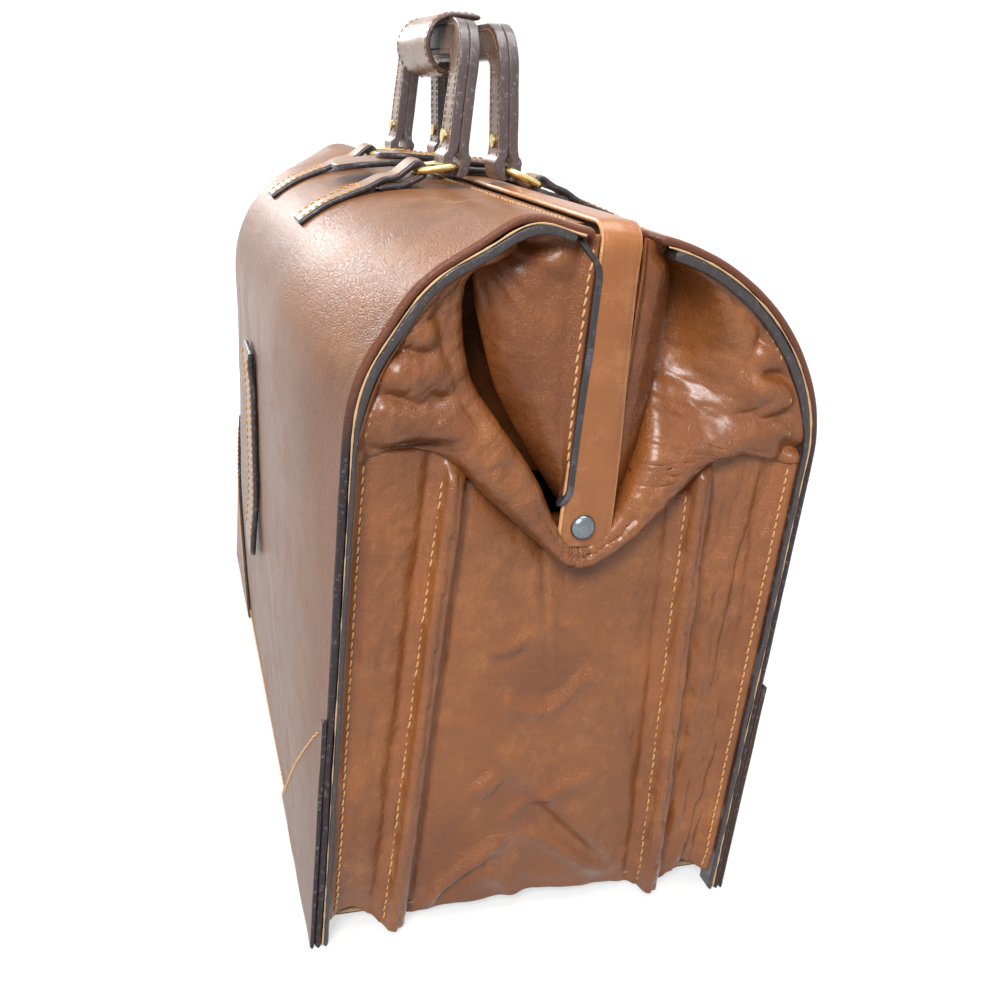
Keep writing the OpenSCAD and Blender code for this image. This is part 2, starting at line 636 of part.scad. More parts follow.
module back_frame_cover() color("#6b3f27") frame_cover(back_x1, back_x0, front_x1 - 0.2);
module front_leg_strips() color("#3a2a22") to_front() leg_strips(front_fullness);
module back_leg_strips() color("#3a2a22") leg_strips(back_fullness);

module top_strip() color("#9a6238") difference() {
    strip_body();
    translate([-body_l, 0, pivot_z]) rotate([0, 90, 0])
        cylinder(h = 2 * body_l, r = pivot_r + pin_gap, $fn = 32);
}

module pivot_rivets() color("#44474d") both_ends() {
    translate([tail_x0, 0, pivot_z]) rotate([0, 90, 0]) {
        cylinder(h = strip_x1 - tail_x0 + 0.1, r = pivot_r, $fn = 32);
        cylinder(h = rivet_tail, r = washer_r - 0.6, $fn = 32);
    }
    dome_r = (head_r * head_r + head_h * head_h) / (2 * head_h);
    translate([strip_x1 + 0.1, 0, pivot_z]) rotate([0, 90, 0]) rotate_extrude($fn = 48)
        intersection() {
            translate([0, head_h - dome_r]) circle(dome_r, $fn = 96);
            square([head_r, head_h]);
        }
}

module pivot_washers() color("#7c7f86") both_ends() difference() {
    translate([washer_x0, 0, pivot_z]) rotate([0, 90, 0]) cylinder(h = washer_t, r = washer_r, $fn = 48);
    translate([washer_x0 - 1, 0, pivot_z]) rotate([0, 90, 0])
        cylinder(h = washer_t + 2, r = pivot_r + pin_gap, $fn = 32);
}

module front_handle_tabs() color("#7b4a2c") to_front()
    handle_tabs(front_fullness, front_loop_u, front_tab_u, front_loop_lift);
module back_handle_tabs() color("#7b4a2c")
    handle_tabs(back_fullness, back_loop_u, back_tab_u, 0);
module front_rings() color("gold") to_front() handle_rings(front_loop, front_ring_tilt);
module back_rings() color("gold") handle_rings(back_loop, back_ring_tilt);
module front_handle() color("#4e3327") at_front_eye() handle_shape();
module back_handle() color("#4e3327") at_back_eye() handle_shape();
module front_handle_rivets() color("goldenrod") at_front_eye() handle_rivet_shape();
module back_handle_rivets() color("goldenrod") at_back_eye() handle_rivet_shape();
module grip_wrap() color("#9c6a45") at_front_eye() grip_wrap_shape();
module closure_strap() color("#5d3521") closure_strap_shape();
module closure_ply() color("#6b3f27") closure_ply_shape();
module closure_root() color("#5d3521") closure_root_shape();

base_board();
base_leather();
base_lining();
front_panel();
back_panel();
front_panel_lining();
back_panel_lining();
front_panel_rands();
back_panel_rands();
front_corner_patches();
back_corner_patches();
front_keeper_tab();
right_gusset();
left_gusset();
right_gusset_welts();
left_gusset_welts();
right_gusset_ply();
left_gusset_ply();
right_front_wing();
right_back_wing();
left_front_wing();
left_back_wing();
front_arch();
back_arch();
front_arch_lining();
back_arch_lining();
front_arch_rands();
back_arch_rands();
front_frame();
back_frame();
front_frame_cover();
back_frame_cover();
front_leg_strips();
back_leg_strips();
top_strip();
pivot_rivets();
pivot_washers();
front_handle_tabs();
back_handle_tabs();
front_rings();
back_rings();
front_handle();
back_handle();
front_handle_rivets();
back_handle_rivets();
grip_wrap();
closure_strap();
closure_ply();
closure_root();
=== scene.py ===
"""Looks of the top-frame leather briefcase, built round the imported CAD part.

Lengths in the numbers below are millimetres in the part's own frame; meshes are stored in metres.
"""

import math

import bpy
import bmesh
import numpy as np
from mathutils import Matrix, Vector


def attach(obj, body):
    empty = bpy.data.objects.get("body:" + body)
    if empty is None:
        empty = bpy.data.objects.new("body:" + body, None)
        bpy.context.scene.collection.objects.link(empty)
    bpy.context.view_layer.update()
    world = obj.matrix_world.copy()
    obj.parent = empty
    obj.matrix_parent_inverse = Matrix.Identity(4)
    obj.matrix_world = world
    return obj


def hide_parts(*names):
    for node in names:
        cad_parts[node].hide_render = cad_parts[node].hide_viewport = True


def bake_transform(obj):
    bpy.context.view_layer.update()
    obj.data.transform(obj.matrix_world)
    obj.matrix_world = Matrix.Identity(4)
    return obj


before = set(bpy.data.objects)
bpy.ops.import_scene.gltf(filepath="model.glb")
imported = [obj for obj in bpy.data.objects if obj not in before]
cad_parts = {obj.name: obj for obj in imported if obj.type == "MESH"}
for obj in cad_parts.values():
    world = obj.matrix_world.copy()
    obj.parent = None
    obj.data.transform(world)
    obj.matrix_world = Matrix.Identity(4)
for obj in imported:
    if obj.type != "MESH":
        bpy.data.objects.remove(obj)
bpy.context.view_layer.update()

# Half length and half depth of the body
HALF_L, HALF_D = 215.0, 102.5
# Height of the arches' shoulder, and height and distance from the parting of their crest
SHOULDER, CREST, CREST_U = 233.304, 320.0, 8.0
# A line's distance from the parting is looked for above this height
ARCH_FROM = 280.0
# Thickness of the panels, of the ply along their ends and of the lining
PANEL_T, RAND_T, LINING_T = 3.5, 2.5, 1.2
# How full the arches are: the exponents of their rounding
FULL_FRONT, FULL_BACK = 2.4, 1.8
# Height of the rivets
PIVOT_Z = 200.0
# (y, z) of the rings' bars in the tabs, and of their bars in the handles' eyes
FRONT_LOOP, BACK_LOOP = (-46.5085, 326.267), (16.6662, 324.64)
FRONT_EYE, BACK_EYE = (-27.9237, 330.217), (-1.40387, 330.512)
# Distance of a handle's legs and rings from the middle
HANDLE_X = 60.0


# Numbers, noise and curves

def lattice(ix, iy, iz, seed):
    """A value from -1 to 1 for whole-number points, hashed by products with large primes, shifts and
    exclusive or."""
    n = ix * 374761393 + iy * 668265263 + iz * 1274126177 + seed * 974711
    n = (n ^ (n >> 13)) * 1103515245
    n = n ^ (n >> 16)
    return (n & 0xFFFF) / 32767.5 - 1.0


def noise(x, y, z=0.0, seed=0):
    """Smooth noise from -1 to 1: hashed lattice values blended with the weight 3t^2 - 2t^3 along each
    axis."""
    x, y, z = np.broadcast_arrays(np.asarray(x, float), np.asarray(y, float), np.asarray(z, float))
    ix, iy, iz = (np.floor(v).astype(np.int64) for v in (x, y, z))
    fx, fy, fz = x - ix, y - iy, z - iz
    fx, fy, fz = (f * f * (3 - 2 * f) for f in (fx, fy, fz))
    total = np.zeros_like(x)
    for dx in (0, 1):
        for dy in (0, 1):
            for dz in (0, 1):
                w = (fx if dx else 1 - fx) * (fy if dy else 1 - fy) * (fz if dz else 1 - fz)
                total += w * lattice(ix + dx, iy + dy, iz + dz, seed)
    return total


def fbm(x, y, z=0.0, seed=0, octaves=3):
    """Sum of noise at doubling frequencies and halving heights."""
    total, size = 0.0, 1.0
    for k in range(octaves):
        total = total + size * noise(np.asarray(x) * 2 ** k, np.asarray(y) * 2 ** k,
                                     np.asarray(z) * 2 ** k, seed + 17 * k)
        size *= 0.5
    return total


def smooth(t):
    """Smooth step from 0 to 1: 3t^2 - 2t^3, with t held between 0 and 1."""
    t = np.clip(t, 0, 1)
    return t * t * (3 - 2 * t)


def gauss(d, w):
    """Bell curve of width w: e to the power -(d / w)^2."""
    return np.exp(-(np.asarray(d) / w) ** 2)


def seg_distance(y, z, poly):
    """Distance from points (y, z) to a polyline, and the share of its length at the nearest point."""
    poly = np.asarray(poly, float)
    best = np.full(np.shape(y), 1e9)
    along = np.zeros(np.shape(y))
    lengths = np.hypot(*(poly[1:] - poly[:-1]).T)
    start = np.concatenate([[0], np.cumsum(lengths)])
    for i in range(len(poly) - 1):
        a, b = poly[i], poly[i + 1]
        d = b - a
        t = np.clip(((y - a[0]) * d[0] + (z - a[1]) * d[1]) / (d @ d), 0, 1)
        ey, ez = y - a[0] - t * d[0], z - a[1] - t * d[1]
        r = np.hypot(ey, ez)
        closer = r < best - 1e-9
        best = np.where(closer, r, best)
        along = np.where(closer, (start[i] + t * lengths[i]) / start[-1], along)
    return best, along


class Curve:
    """A line in a plane with its length, and the unit normal on its right-hand side going forward."""

    def __init__(self, points):
        self.p = np.asarray(points, float)
        step = np.hypot(*(self.p[1:] - self.p[:-1]).T)
        self.s = np.concatenate([[0], np.cumsum(step)])
        self.length = self.s[-1]
        t = np.gradient(self.p, self.s, axis=0)
        t /= np.linalg.norm(t, axis=1)[:, None]
        self.n = np.stack([t[:, 1], -t[:, 0]], 1)

    def at(self, s):
        """Points and unit normals at the lengths s."""
        p = np.stack([np.interp(s, self.s, self.p[:, k]) for k in (0, 1)], -1)
        n = np.stack([np.interp(s, self.s, self.n[:, k]) for k in (0, 1)], -1)
        return p, n / np.linalg.norm(n, axis=-1)[..., None]

    def s_at_u(self, u):
        """Length at which a side's profile first comes within u of the parting."""
        return self.s[np.argmax((self.p[:, 0] <= u) & (self.p[:, 1] > ARCH_FROM))]


def smooth_line(points, k):
    """Smooth curve through the points, k steps to each span: cubics whose slope at a point is half the way
    between its neighbours."""
    p = np.asarray(points, float)
    p = np.vstack([2 * p[0] - p[1], p, 2 * p[-1] - p[-2]])
    out = []
    t = np.linspace(0, 1, k, endpoint=False)[:, None]
    for i in range(1, len(p) - 2):
        a, b, c, d = p[i - 1], p[i], p[i + 1], p[i + 2]
        square, cube = 2 * a - 5 * b + 4 * c - d, 3 * b - a - 3 * c + d
        out.append(0.5 * (2 * b + (c - a) * t + square * t ** 2 + cube * t ** 3))
    return np.vstack(out + [p[-2]])


def arch_profile(n, u_end):
    """Side profile up to u_end from the parting: up the panel at u = 102.5, then u = 8 + 94.5 cos(a)^(2/n)
    and z = 233.3 + 86.7 sin(a)^(2/n)."""
    ay, az = HALF_D - CREST_U, CREST - SHOULDER
    a = np.linspace(0, math.pi / 2, 4000)
    x, h = np.cos(a) ** (2 / n), np.sin(a) ** (2 / n)
    u, z = CREST_U + ay * x, SHOULDER + az * h
    keep = u >= u_end
    u, z = u[keep], z[keep]
    low = np.linspace(0, SHOULDER - 0.2, 200)
    return Curve(np.vstack([np.stack([np.full(200, HALF_D), low], 1), np.stack([u, z], 1)[1:]]))


def end_name(e):
    return "right" if e > 0 else "left"


def side_name(sy):
    return "front" if sy < 0 else "back"


# Meshes

def add_mesh(name, verts, faces, mats, attrs=(), flat_from=None, flip=False):
    """A mesh in metres from millimetre points; attrs are (name, array) with one number or three for each
    point. Faces from flat_from on are shaded flat."""
    me = bpy.data.meshes.new(name)
    verts = np.asarray(verts, float) * 0.001
    if flip:
        faces = [tuple(reversed(f)) for f in faces]
    me.from_pydata(verts.tolist(), [], [tuple(f) for f in faces])
    rest = me.attributes.new("rest", "FLOAT_VECTOR", "POINT")
    rest.data.foreach_set("vector", verts.astype(np.float32).ravel())
    for key, values in attrs:
        values = np.asarray(values, np.float32)
        if values.ndim == 1:
            me.attributes.new(key, "FLOAT", "POINT").data.foreach_set("value", values)
        else:
            me.attributes.new(key, "FLOAT_VECTOR", "POINT").data.foreach_set("vector", values.ravel())
    for m in mats:
        me.materials.append(m)
    me.polygons.foreach_set("use_smooth", np.arange(len(me.polygons)) < (flat_from or len(me.polygons)))
    me.update()
    bm = bmesh.new()
    bm.from_mesh(me)
    bmesh.ops.recalc_face_normals(bm, faces=bm.faces)
    bm.to_mesh(me)
    bm.free()
    o = bpy.data.objects.new(name, me)
    bpy.context.scene.collection.objects.link(o)
    return o


def ring_faces(rows, loop, start=0):
    """Quads between rows of points, each row a closed loop."""
    i, j = np.meshgrid(np.arange(rows - 1), np.arange(loop), indexing="ij")
    k = (j + 1) % loop
    return (np.stack([i * loop + j, i * loop + k, (i + 1) * loop + k, (i + 1) * loop + j], -1)
            + start).reshape(-1, 4).tolist()


def grid_faces(rows, cols, start=0):
    """Quads between the neighbouring points of a grid."""
    i, j = np.meshgrid(np.arange(rows - 1), np.arange(cols - 1), indexing="ij")
    return (np.stack([i * cols + j, i * cols + j + 1, (i + 1) * cols + j + 1, (i + 1) * cols + j], -1)
            + start).reshape(-1, 4).tolist()


ENDS = np.radians([12, 32, 52, 70, 84])


def slab(name, place, s, c, t, mats, edge_w=3.0, flip=False, corner=None, swell=None):
    """A closed sheet of thickness t with rounded edges. place(S, C) gives the middle surface's points and
    unit normals for the lengths S along and C across. Each row is a loop: the outer face at +t/2, round the
    edge by quarter circles of the corner radius (t/2 makes a half circle), the inner face at -t/2, and
    round the other edge; the first and last rows close with shrinking thickness. swell scales the thickness
    along S."""
    s, c = np.asarray(s, float), np.asarray(c, float)
    h = t / 2
    q = h if corner is None else corner
    arc = np.radians([68, 45, 22, 0, 0, -22, -45, -68])
    arc_c = -q + q * np.cos(arc)
    arc_o = (h - q) * np.array([1, 1, 1, 1, -1, -1, -1, -1]) + q * np.sin(arc)
    if corner is None:
        arc_c, arc_o = np.delete(arc_c, 3), np.delete(arc_o, 3)
    s0, s1, c0, c1 = s[0], s[-1], c[0], c[-1]
    body_s = s[(s > s0 + h) & (s < s1 - h)]
    rows_s = np.concatenate([(s0 + h - h * np.sin(ENDS))[::-1], [s0 + h], body_s, [s1 - h],
                             s1 - h + h * np.sin(ENDS)])
    rows_k = np.concatenate([np.cos(ENDS)[::-1], [1], np.ones(len(body_s)), [1], np.cos(ENDS)])
    face_c = np.concatenate([[c0 + q], c[(c > c0 + q * 1.2) & (c < c1 - q * 1.2)], [c1 - q]])
    cols_c = np.concatenate([face_c, c1 + arc_c, face_c[::-1], c0 - arc_c])
    cols_o = np.concatenate([np.full(len(face_c), h), arc_o, np.full(len(face_c), -h), -arc_o])
    S, C = np.meshgrid(rows_s, cols_c, indexing="ij")
    O = np.outer(rows_k, cols_o)
    if swell is not None:
        O = O * swell(S)
    P, N = place(S, C)
    P = P + N * O[..., None]
    m, loop, k, a = len(face_c), len(cols_c), len(rows_s), len(arc_c)
    faces = ring_faces(k, loop)
    for row, turn in ((0, False), (k - 1, True)):
        b = row * loop
        cap = [(b + j, b + j + 1, b + 2 * m + a - 2 - j, b + 2 * m + a - 1 - j) for j in range(m - 1)]
        right = [b + m - 1 + j for j in range(a + 2)]
        left = [b + 2 * m + a - 1 + j for j in range(a + 1)] + [b]
        cap += [tuple(reversed(right)), tuple(reversed(left))]
        faces += cap if not turn else [tuple(reversed(f)) for f in cap]
    d = np.minimum(np.minimum(C - c0, c1 - C), np.minimum(S - s0, s1 - S))
    on_edge = (np.abs(cols_o)[None, :] < h * 0.97) | (rows_k[:, None] < 0.97)
    edge = np.where(on_edge, 1.0, np.clip(1 - d / edge_w, 0, 1) * 0.7)
    face = np.where(on_edge, 0.0, np.sign(cols_o)[None, :] * np.ones_like(S))
    st = np.stack([C, S, np.broadcast_to(cols_o[None, :], S.shape)], -1) * 0.001
    attrs = [("edge", edge.ravel()), ("face", face.ravel()), ("st", st.reshape(-1, 3))]
    return add_mesh(name, P.reshape(-1, 3), faces, mats, attrs, flip=flip)


def tube(name, path, radius, mats, sides=12, closed=False, flip=False):
    """A round bar along a line of points: circles square to the line, carried along it without twist."""
    path = np.asarray(path, float)
    k = len(path)
    radius = np.broadcast_to(np.asarray(radius, float), (k,))
    t = np.roll(path, -1, 0) - np.roll(path, 1, 0) if closed else np.gradient(path, axis=0)
    t /= np.linalg.norm(t, axis=1)[:, None]
    n = np.zeros((k, 3))
    first = np.array([0, 0, 1.0]) if abs(t[0, 2]) < 0.9 else np.array([1.0, 0, 0])
    n[0] = first - (first @ t[0]) * t[0]
    for i in range(1, k):
        n[i] = n[i - 1] - (n[i - 1] @ t[i]) * t[i]
        n[i] /= np.linalg.norm(n[i])
    n[0] /= np.linalg.norm(n[0])
    b = np.cross(t, n)
    a = np.linspace(0, 2 * math.pi, sides, endpoint=False)
    P = path[:, None] + radius[:, None, None] * (np.cos(a)[None, :, None] * n[:, None]
                                                 + np.sin(a)[None, :, None] * b[:, None])
    faces = ring_faces(k, sides)
    if closed:
        faces += [((k - 1) * sides + j, (k - 1) * sides + (j + 1) % sides, (j + 1) % sides, j)
                  for j in range(sides)]
    else:
        faces += [tuple(range(sides))[::-1], tuple((k - 1) * sides + j for j in range(sides))]
    return add_mesh(name, P.reshape(-1, 3), faces, mats, [("edge", np.zeros(k * sides))], flip=flip)


def lathe(name, profile, origin, axis_x, mats, segs=48):
    """A turned piece on an axis along X: radius and height pairs swept round it."""
    a = np.linspace(0, 2 * math.pi, segs, endpoint=False)
    profile = np.asarray(profile, float)
    r, h = profile[:, 0][:, None], profile[:, 1][:, None]
    P = np.stack([origin[0] + axis_x * h * np.ones_like(a), origin[1] + r * np.cos(a), origin[2]
                  + r * np.sin(a)], -1)
    faces = ring_faces(len(profile), segs) + [tuple(range(segs))[::-1],
                                              tuple((len(profile) - 1) * segs + j for j in range(segs))]
    return add_mesh(name, P.reshape(-1, 3), faces, mats, [("edge", np.zeros(len(profile) * segs))],
                    flip=axis_x < 0)


def stitch_row(points, normals, pitch=4.2, length=3.3, r=0.42, rise=0.28, wander=0.1, seed=1):
    """Thread along a seam: for every pitch of the line a short bar that arches over the leather with its
    ends sunk in."""
    points, normals = np.asarray(points, float), np.asarray(normals, float)
    step = np.linalg.norm(points[1:] - points[:-1], axis=1)
    s = np.concatenate([[0], np.cumsum(step)])
    count = max(2, int(s[-1] / pitch))
    mid = (np.arange(count) + 0.5) * s[-1] / count
    rng = np.random.default_rng(seed)
    k, sides = 7, 6
    u = np.linspace(-1, 1, k)
    a = np.linspace(0, 2 * math.pi, sides, endpoint=False)
    lift = rise * (1 - 1.9 * u ** 4)
    girth = r * np.sqrt(np.clip(1 - 0.75 * u ** 6, 0.1, 1))
    place = mid[:, None] + u[None] * length / 2
    pts = np.stack([np.interp(place, s, points[:, i]) for i in range(3)], -1)
    nor = np.stack([np.interp(mid[:, None] + 0 * u[None], s, normals[:, i]) for i in range(3)], -1)
    nor /= np.linalg.norm(nor, axis=-1)[..., None]
    tan = np.gradient(pts, axis=1)
    tan /= np.linalg.norm(tan, axis=-1)[..., None]
    side = np.cross(tan, nor)
    side /= np.linalg.norm(side, axis=-1)[..., None]
    pts = pts + side * (wander * rng.normal(size=(count, 1, 1))) + side * (u[None, :, None] * 0.28)
    centre = pts + nor * lift[None, :, None]
    round_bar = (np.cos(a)[None, None, :, None] * nor[:, :, None]
                 + np.sin(a)[None, None, :, None] * side[:, :, None])
    P = centre[:, :, None] + girth[None, :, None, None] * round_bar
    verts = P.reshape(-1, 3)
    faces = []
    one = ring_faces(k, sides) + [tuple(range(sides))[::-1],
                                  tuple((k - 1) * sides + j for j in range(sides))]
    for i in range(count):
        b = i * k * sides
        faces += [tuple(b + v for v in f) for f in one]
    return verts, faces


def stitches(name, rows, mats, slot, **options):
    """Several stitched rows in one piece; rows are (points, normals)."""
    verts, faces, base = [], [], 0
    for i, (p, n) in enumerate(rows):
        v, f = stitch_row(p, n, seed=i + 3, **options)
        verts.append(v)
        faces += [tuple(base + x for x in q) for q in f]
        base += len(v)
    return add_mesh(name, np.vstack(verts), faces, mats, [("edge", np.zeros(base))])


# Materials

def new_group(name, ins, outs):
    """A node group with its input and output nodes."""
    g = bpy.data.node_groups.new(name, "ShaderNodeTree")
    for key, kind, value in ins:
        s = g.interface.new_socket(name=key, in_out="INPUT", socket_type=kind)
        if value is not None:
            s.default_value = value
    for key, kind in outs:
        g.interface.new_socket(name=key, in_out="OUTPUT", socket_type=kind)
    return g, g.nodes.new("NodeGroupInput"), g.nodes.new("NodeGroupOutput")


def math_node(tree, op, a, b=None, clamp=False):
    """One sum, product or other operation on a and b, which are numbers or sockets."""
    n = tree.nodes.new("ShaderNodeMath")
    n.operation, n.use_clamp = op, clamp
    for i, v in enumerate((a, b)):
        if v is None:
            continue
        if isinstance(v, (int, float)):
            n.inputs[i].default_value = v
        else:
            tree.links.new(v, n.inputs[i])
    return n.outputs[0]


def ramp(tree, value, stops):
    """A grey value that runs straight from stop to stop; stops are (position, value)."""
    n = tree.nodes.new("ShaderNodeValToRGB")
    while len(n.color_ramp.elements) < len(stops):
        n.color_ramp.elements.new(0.5)
    for e, (p, v) in zip(n.color_ramp.elements, stops):
        e.position, e.color = p, (v, v, v, 1)
    tree.links.new(value, n.inputs[0])
    return n.outputs[0]


def mix_color(tree, fac, a, b):
    """Colour (1 - fac) a + fac b; each of the three is a number, a colour or a socket."""
    n = tree.nodes.new("ShaderNodeMix")
    n.data_type, n.blend_type = "RGBA", "MIX"
    for socket, v in ((n.inputs[0], fac), (n.inputs[6], a), (n.inputs[7], b)):
        if isinstance(v, (int, float, tuple)):
            socket.default_value = v if isinstance(v, (int, float)) else (*v, 1)[:4]
        else:
            tree.links.new(v, socket)
    return n.outputs[2]


def noise_tex(tree, vector, scale, detail=4.0, rough=0.55, stretch=None):
    """Noise of so many swells to the metre, with detail added at doubling frequencies; stretch scales its
    axes."""
    if stretch is not None:
        m = tree.nodes.new("ShaderNodeMapping")
        m.inputs["Scale"].default_value = stretch
        tree.links.new(vector, m.inputs["Vector"])
        vector = m.outputs[0]
    n = tree.nodes.new("ShaderNodeTexNoise")
    n.inputs["Scale"].default_value = scale
    n.inputs["Detail"].default_value = detail
    n.inputs["Roughness"].default_value = rough
    tree.links.new(vector, n.inputs["Vector"])
    return n.outputs[0]


def build_grain():
    """Leather grain: small cells with rounded tops, finer pores and long soft wrinkles, added up as the
    height, and a wider net of cracks."""
    g, gi, go = new_group("leather_grain", [("Vector", "NodeSocketVector", None)],
                          [("Height", "NodeSocketFloat"), ("Cracks", "NodeSocketFloat")])
    v = gi.outputs["Vector"]
    warp = noise_tex(g, v, 300.0, 3.0)
    add = g.nodes.new("ShaderNodeVectorMath")
    add.operation = "MULTIPLY_ADD"
    g.links.new(warp, add.inputs[0])
    add.inputs[1].default_value = (0.0012, 0.0012, 0.0012)
    g.links.new(v, add.inputs[2])
    cells = g.nodes.new("ShaderNodeTexVoronoi")
    cells.feature = "DISTANCE_TO_EDGE"
    cells.inputs["Scale"].default_value = 900.0
    g.links.new(add.outputs[0], cells.inputs["Vector"])
    cell = ramp(g, cells.outputs["Distance"], [(0.0, 0.0), (0.12, 0.7), (0.4, 1.0)])
    pores = noise_tex(g, v, 1800.0, 3.0)
    long_w = noise_tex(g, v, 160.0, 5.0, 0.6)
    total = math_node(g, "ADD", math_node(g, "MULTIPLY", cell, 0.45), math_node(g, "MULTIPLY", pores, 0.25))
    total = math_node(g, "ADD", total, math_node(g, "MULTIPLY", long_w, 0.9))
    g.links.new(total, go.inputs["Height"])
    crack = g.nodes.new("ShaderNodeTexVoronoi")
    crack.feature = "DISTANCE_TO_EDGE"
    crack.inputs["Scale"].default_value = 260.0
    g.links.new(add.outputs[0], crack.inputs["Vector"])
    g.links.new(ramp(g, crack.outputs["Distance"], [(0.0, 1.0), (0.05, 0.25), (0.12, 0.0)]),
                go.inputs["Cracks"])
    return g


def build_patina():
    """Age: wide blotches, small speckles, fine scratches and rubbed patches."""
    g, gi, go = new_group("leather_patina", [("Vector", "NodeSocketVector", None)],
                          [("Blotch", "NodeSocketFloat"), ("Speckle", "NodeSocketFloat"),
                           ("Scratch", "NodeSocketFloat"), ("Rub", "NodeSocketFloat")])
    v = gi.outputs["Vector"]
    g.links.new(ramp(g, noise_tex(g, v, 14.0, 6.0, 0.6), [(0.32, 0.0), (0.7, 1.0)]), go.inputs["Blotch"])
    g.links.new(ramp(g, noise_tex(g, v, 420.0, 3.0, 0.7), [(0.56, 0.0), (0.72, 1.0)]), go.inputs["Speckle"])
    s1 = ramp(g, noise_tex(g, v, 60.0, 2.0, 0.5, (9.0, 1.2, 1.0)), [(0.66, 0.0), (0.7, 1.0)])
    s2 = ramp(g, noise_tex(g, v, 75.0, 2.0, 0.5, (1.2, 1.0, 8.0)), [(0.68, 0.0), (0.72, 1.0)])
    g.links.new(math_node(g, "MAXIMUM", s1, s2), go.inputs["Scratch"])
    g.links.new(ramp(g, noise_tex(g, v, 38.0, 8.0, 0.72), [(0.5, 0.0), (0.68, 1.0)]), go.inputs["Rub"])
    return g


GRAIN, PATINA = build_grain(), build_patina()


def srgb(r, g, b):
    """Linear colour of screen values from 0 to 255: ((c + 0.055) / 1.055)^2.4, and c / 12.92 near black."""
    return tuple((c / 255 / 12.92) if c <= 10 else (((c / 255) + 0.055) / 1.055) ** 2.4 for c in (r, g, b))


def leather(name, base, dark, light, edge, rough=0.42, bump=0.25, coat=0.25, wear=0.5, cracks=0.0,
            edge_in=(0.55, 0.95), edge_wear_and_sheen=None, coords="rest", wrinkles=0.0, edge_high=None):
    """Leather: the base colour mixed with the dark one by blotches, speckles and cracks, and with the light
    one where it is rubbed (wear). The edge colour takes over where the edge attribute passes edge_in,
    speckled with a paler colour that is partly wear and partly a painted bluish sheen of the glossy edges,
    and with edge_high above the shoulder. The bump is grain plus wrinkles less cracks."""
    m = bpy.data.materials.new(name)
    m.use_nodes = True
    t = m.node_tree
    bsdf = t.nodes["Principled BSDF"]
    if coords == "rest":
        src = t.nodes.new("ShaderNodeAttribute")
        src.attribute_name = "rest"
        vec = src.outputs["Vector"]
    else:
        vec = t.nodes.new("ShaderNodeTexCoord").outputs["Object"]
    grain, pat = t.nodes.new("ShaderNodeGroup"), t.nodes.new("ShaderNodeGroup")
    grain.node_tree, pat.node_tree = GRAIN, PATINA
    t.links.new(vec, grain.inputs[0])
    t.links.new(vec, pat.inputs[0])
    col = mix_color(t, pat.outputs["Blotch"], base, dark)
    rub = math_node(t, "MULTIPLY", pat.outputs["Rub"], wear)
    col = mix_color(t, rub, col, light)
    col = mix_color(t, math_node(t, "MULTIPLY", pat.outputs["Scratch"], 0.5 * wear), col, light)
    col = mix_color(t, math_node(t, "MULTIPLY", pat.outputs["Speckle"], 0.25), col, dark)
    if cracks:
        col = mix_color(t, math_node(t, "MULTIPLY", grain.outputs["Cracks"], cracks), col, dark)
    ea = t.nodes.new("ShaderNodeAttribute")
    ea.attribute_name = "edge"
    ragged = math_node(t, "MULTIPLY", math_node(t, "SUBTRACT", pat.outputs["Rub"], 0.5), 0.12)
    rag = math_node(t, "ADD", ea.outputs["Fac"], ragged)
    mask = ramp(t, rag, [(edge_in[0], 0.0), (edge_in[1], 1.0)])
    # Paler speckles on the edges: partly wear, partly a painted sheen of their gloss
    flecks_and_sheen = edge_wear_and_sheen or tuple(min(1, 2.6 * c + 0.05) for c in edge)
    edge_col = mix_color(t, math_node(t, "MULTIPLY", pat.outputs["Speckle"], 0.6), edge, flecks_and_sheen)
    if edge_high:
        part = t.nodes.new("ShaderNodeSeparateXYZ")
        t.links.new(vec, part.inputs[0])
        height = math_node(t, "ADD", part.outputs[2], math_node(t, "MULTIPLY", pat.outputs["Rub"], 0.012))
        up = ramp(t, height, [(0.232, 0.0), (0.268, 1.0)])
        edge_col = mix_color(t, up, edge_col, edge_high)
    col = mix_color(t, mask, col, edge_col)
    t.links.new(col, bsdf.inputs["Base Color"])
    r = math_node(t, "ADD", math_node(t, "MULTIPLY", pat.outputs["Rub"], 0.16), rough - 0.06)
    r = math_node(t, "SUBTRACT", r, math_node(t, "MULTIPLY", mask, 0.08), clamp=True)
    t.links.new(r, bsdf.inputs["Roughness"])
    bsdf.inputs["Coat Weight"].default_value = coat
    bsdf.inputs["Coat Roughness"].default_value = 0.28
    bsdf.inputs["Specular IOR Level"].default_value = 0.2
    b = t.nodes.new("ShaderNodeBump")
    b.inputs["Strength"].default_value = bump
    b.inputs["Distance"].default_value = 0.0006
    h = grain.outputs["Height"]
    if cracks:
        h = math_node(t, "SUBTRACT", h, math_node(t, "MULTIPLY", grain.outputs["Cracks"], 0.6 * cracks))
    if wrinkles:
        warp = t.nodes.new("ShaderNodeVectorMath")
        warp.operation = "MULTIPLY_ADD"
        t.links.new(noise_tex(t, vec, 40.0, 3.0), warp.inputs[0])
        warp.inputs[1].default_value = (0.012, 0.012, 0.012)
        t.links.new(vec, warp.inputs[2])
        fine = noise_tex(t, warp.outputs[0], 150.0, 4.0, 0.58, (1.0, 1.15, 0.8))
        off_middle = math_node(t, "ABSOLUTE", math_node(t, "SUBTRACT", fine, 0.5))
        crease = ramp(t, off_middle, [(0.0, 0.0), (0.05, 0.7), (0.2, 1.0)])
        h = math_node(t, "ADD", h, math_node(t, "MULTIPLY", crease, wrinkles))
    t.links.new(h, b.inputs["Height"])
    t.links.new(b.outputs[0], bsdf.inputs["Normal"])
    return m


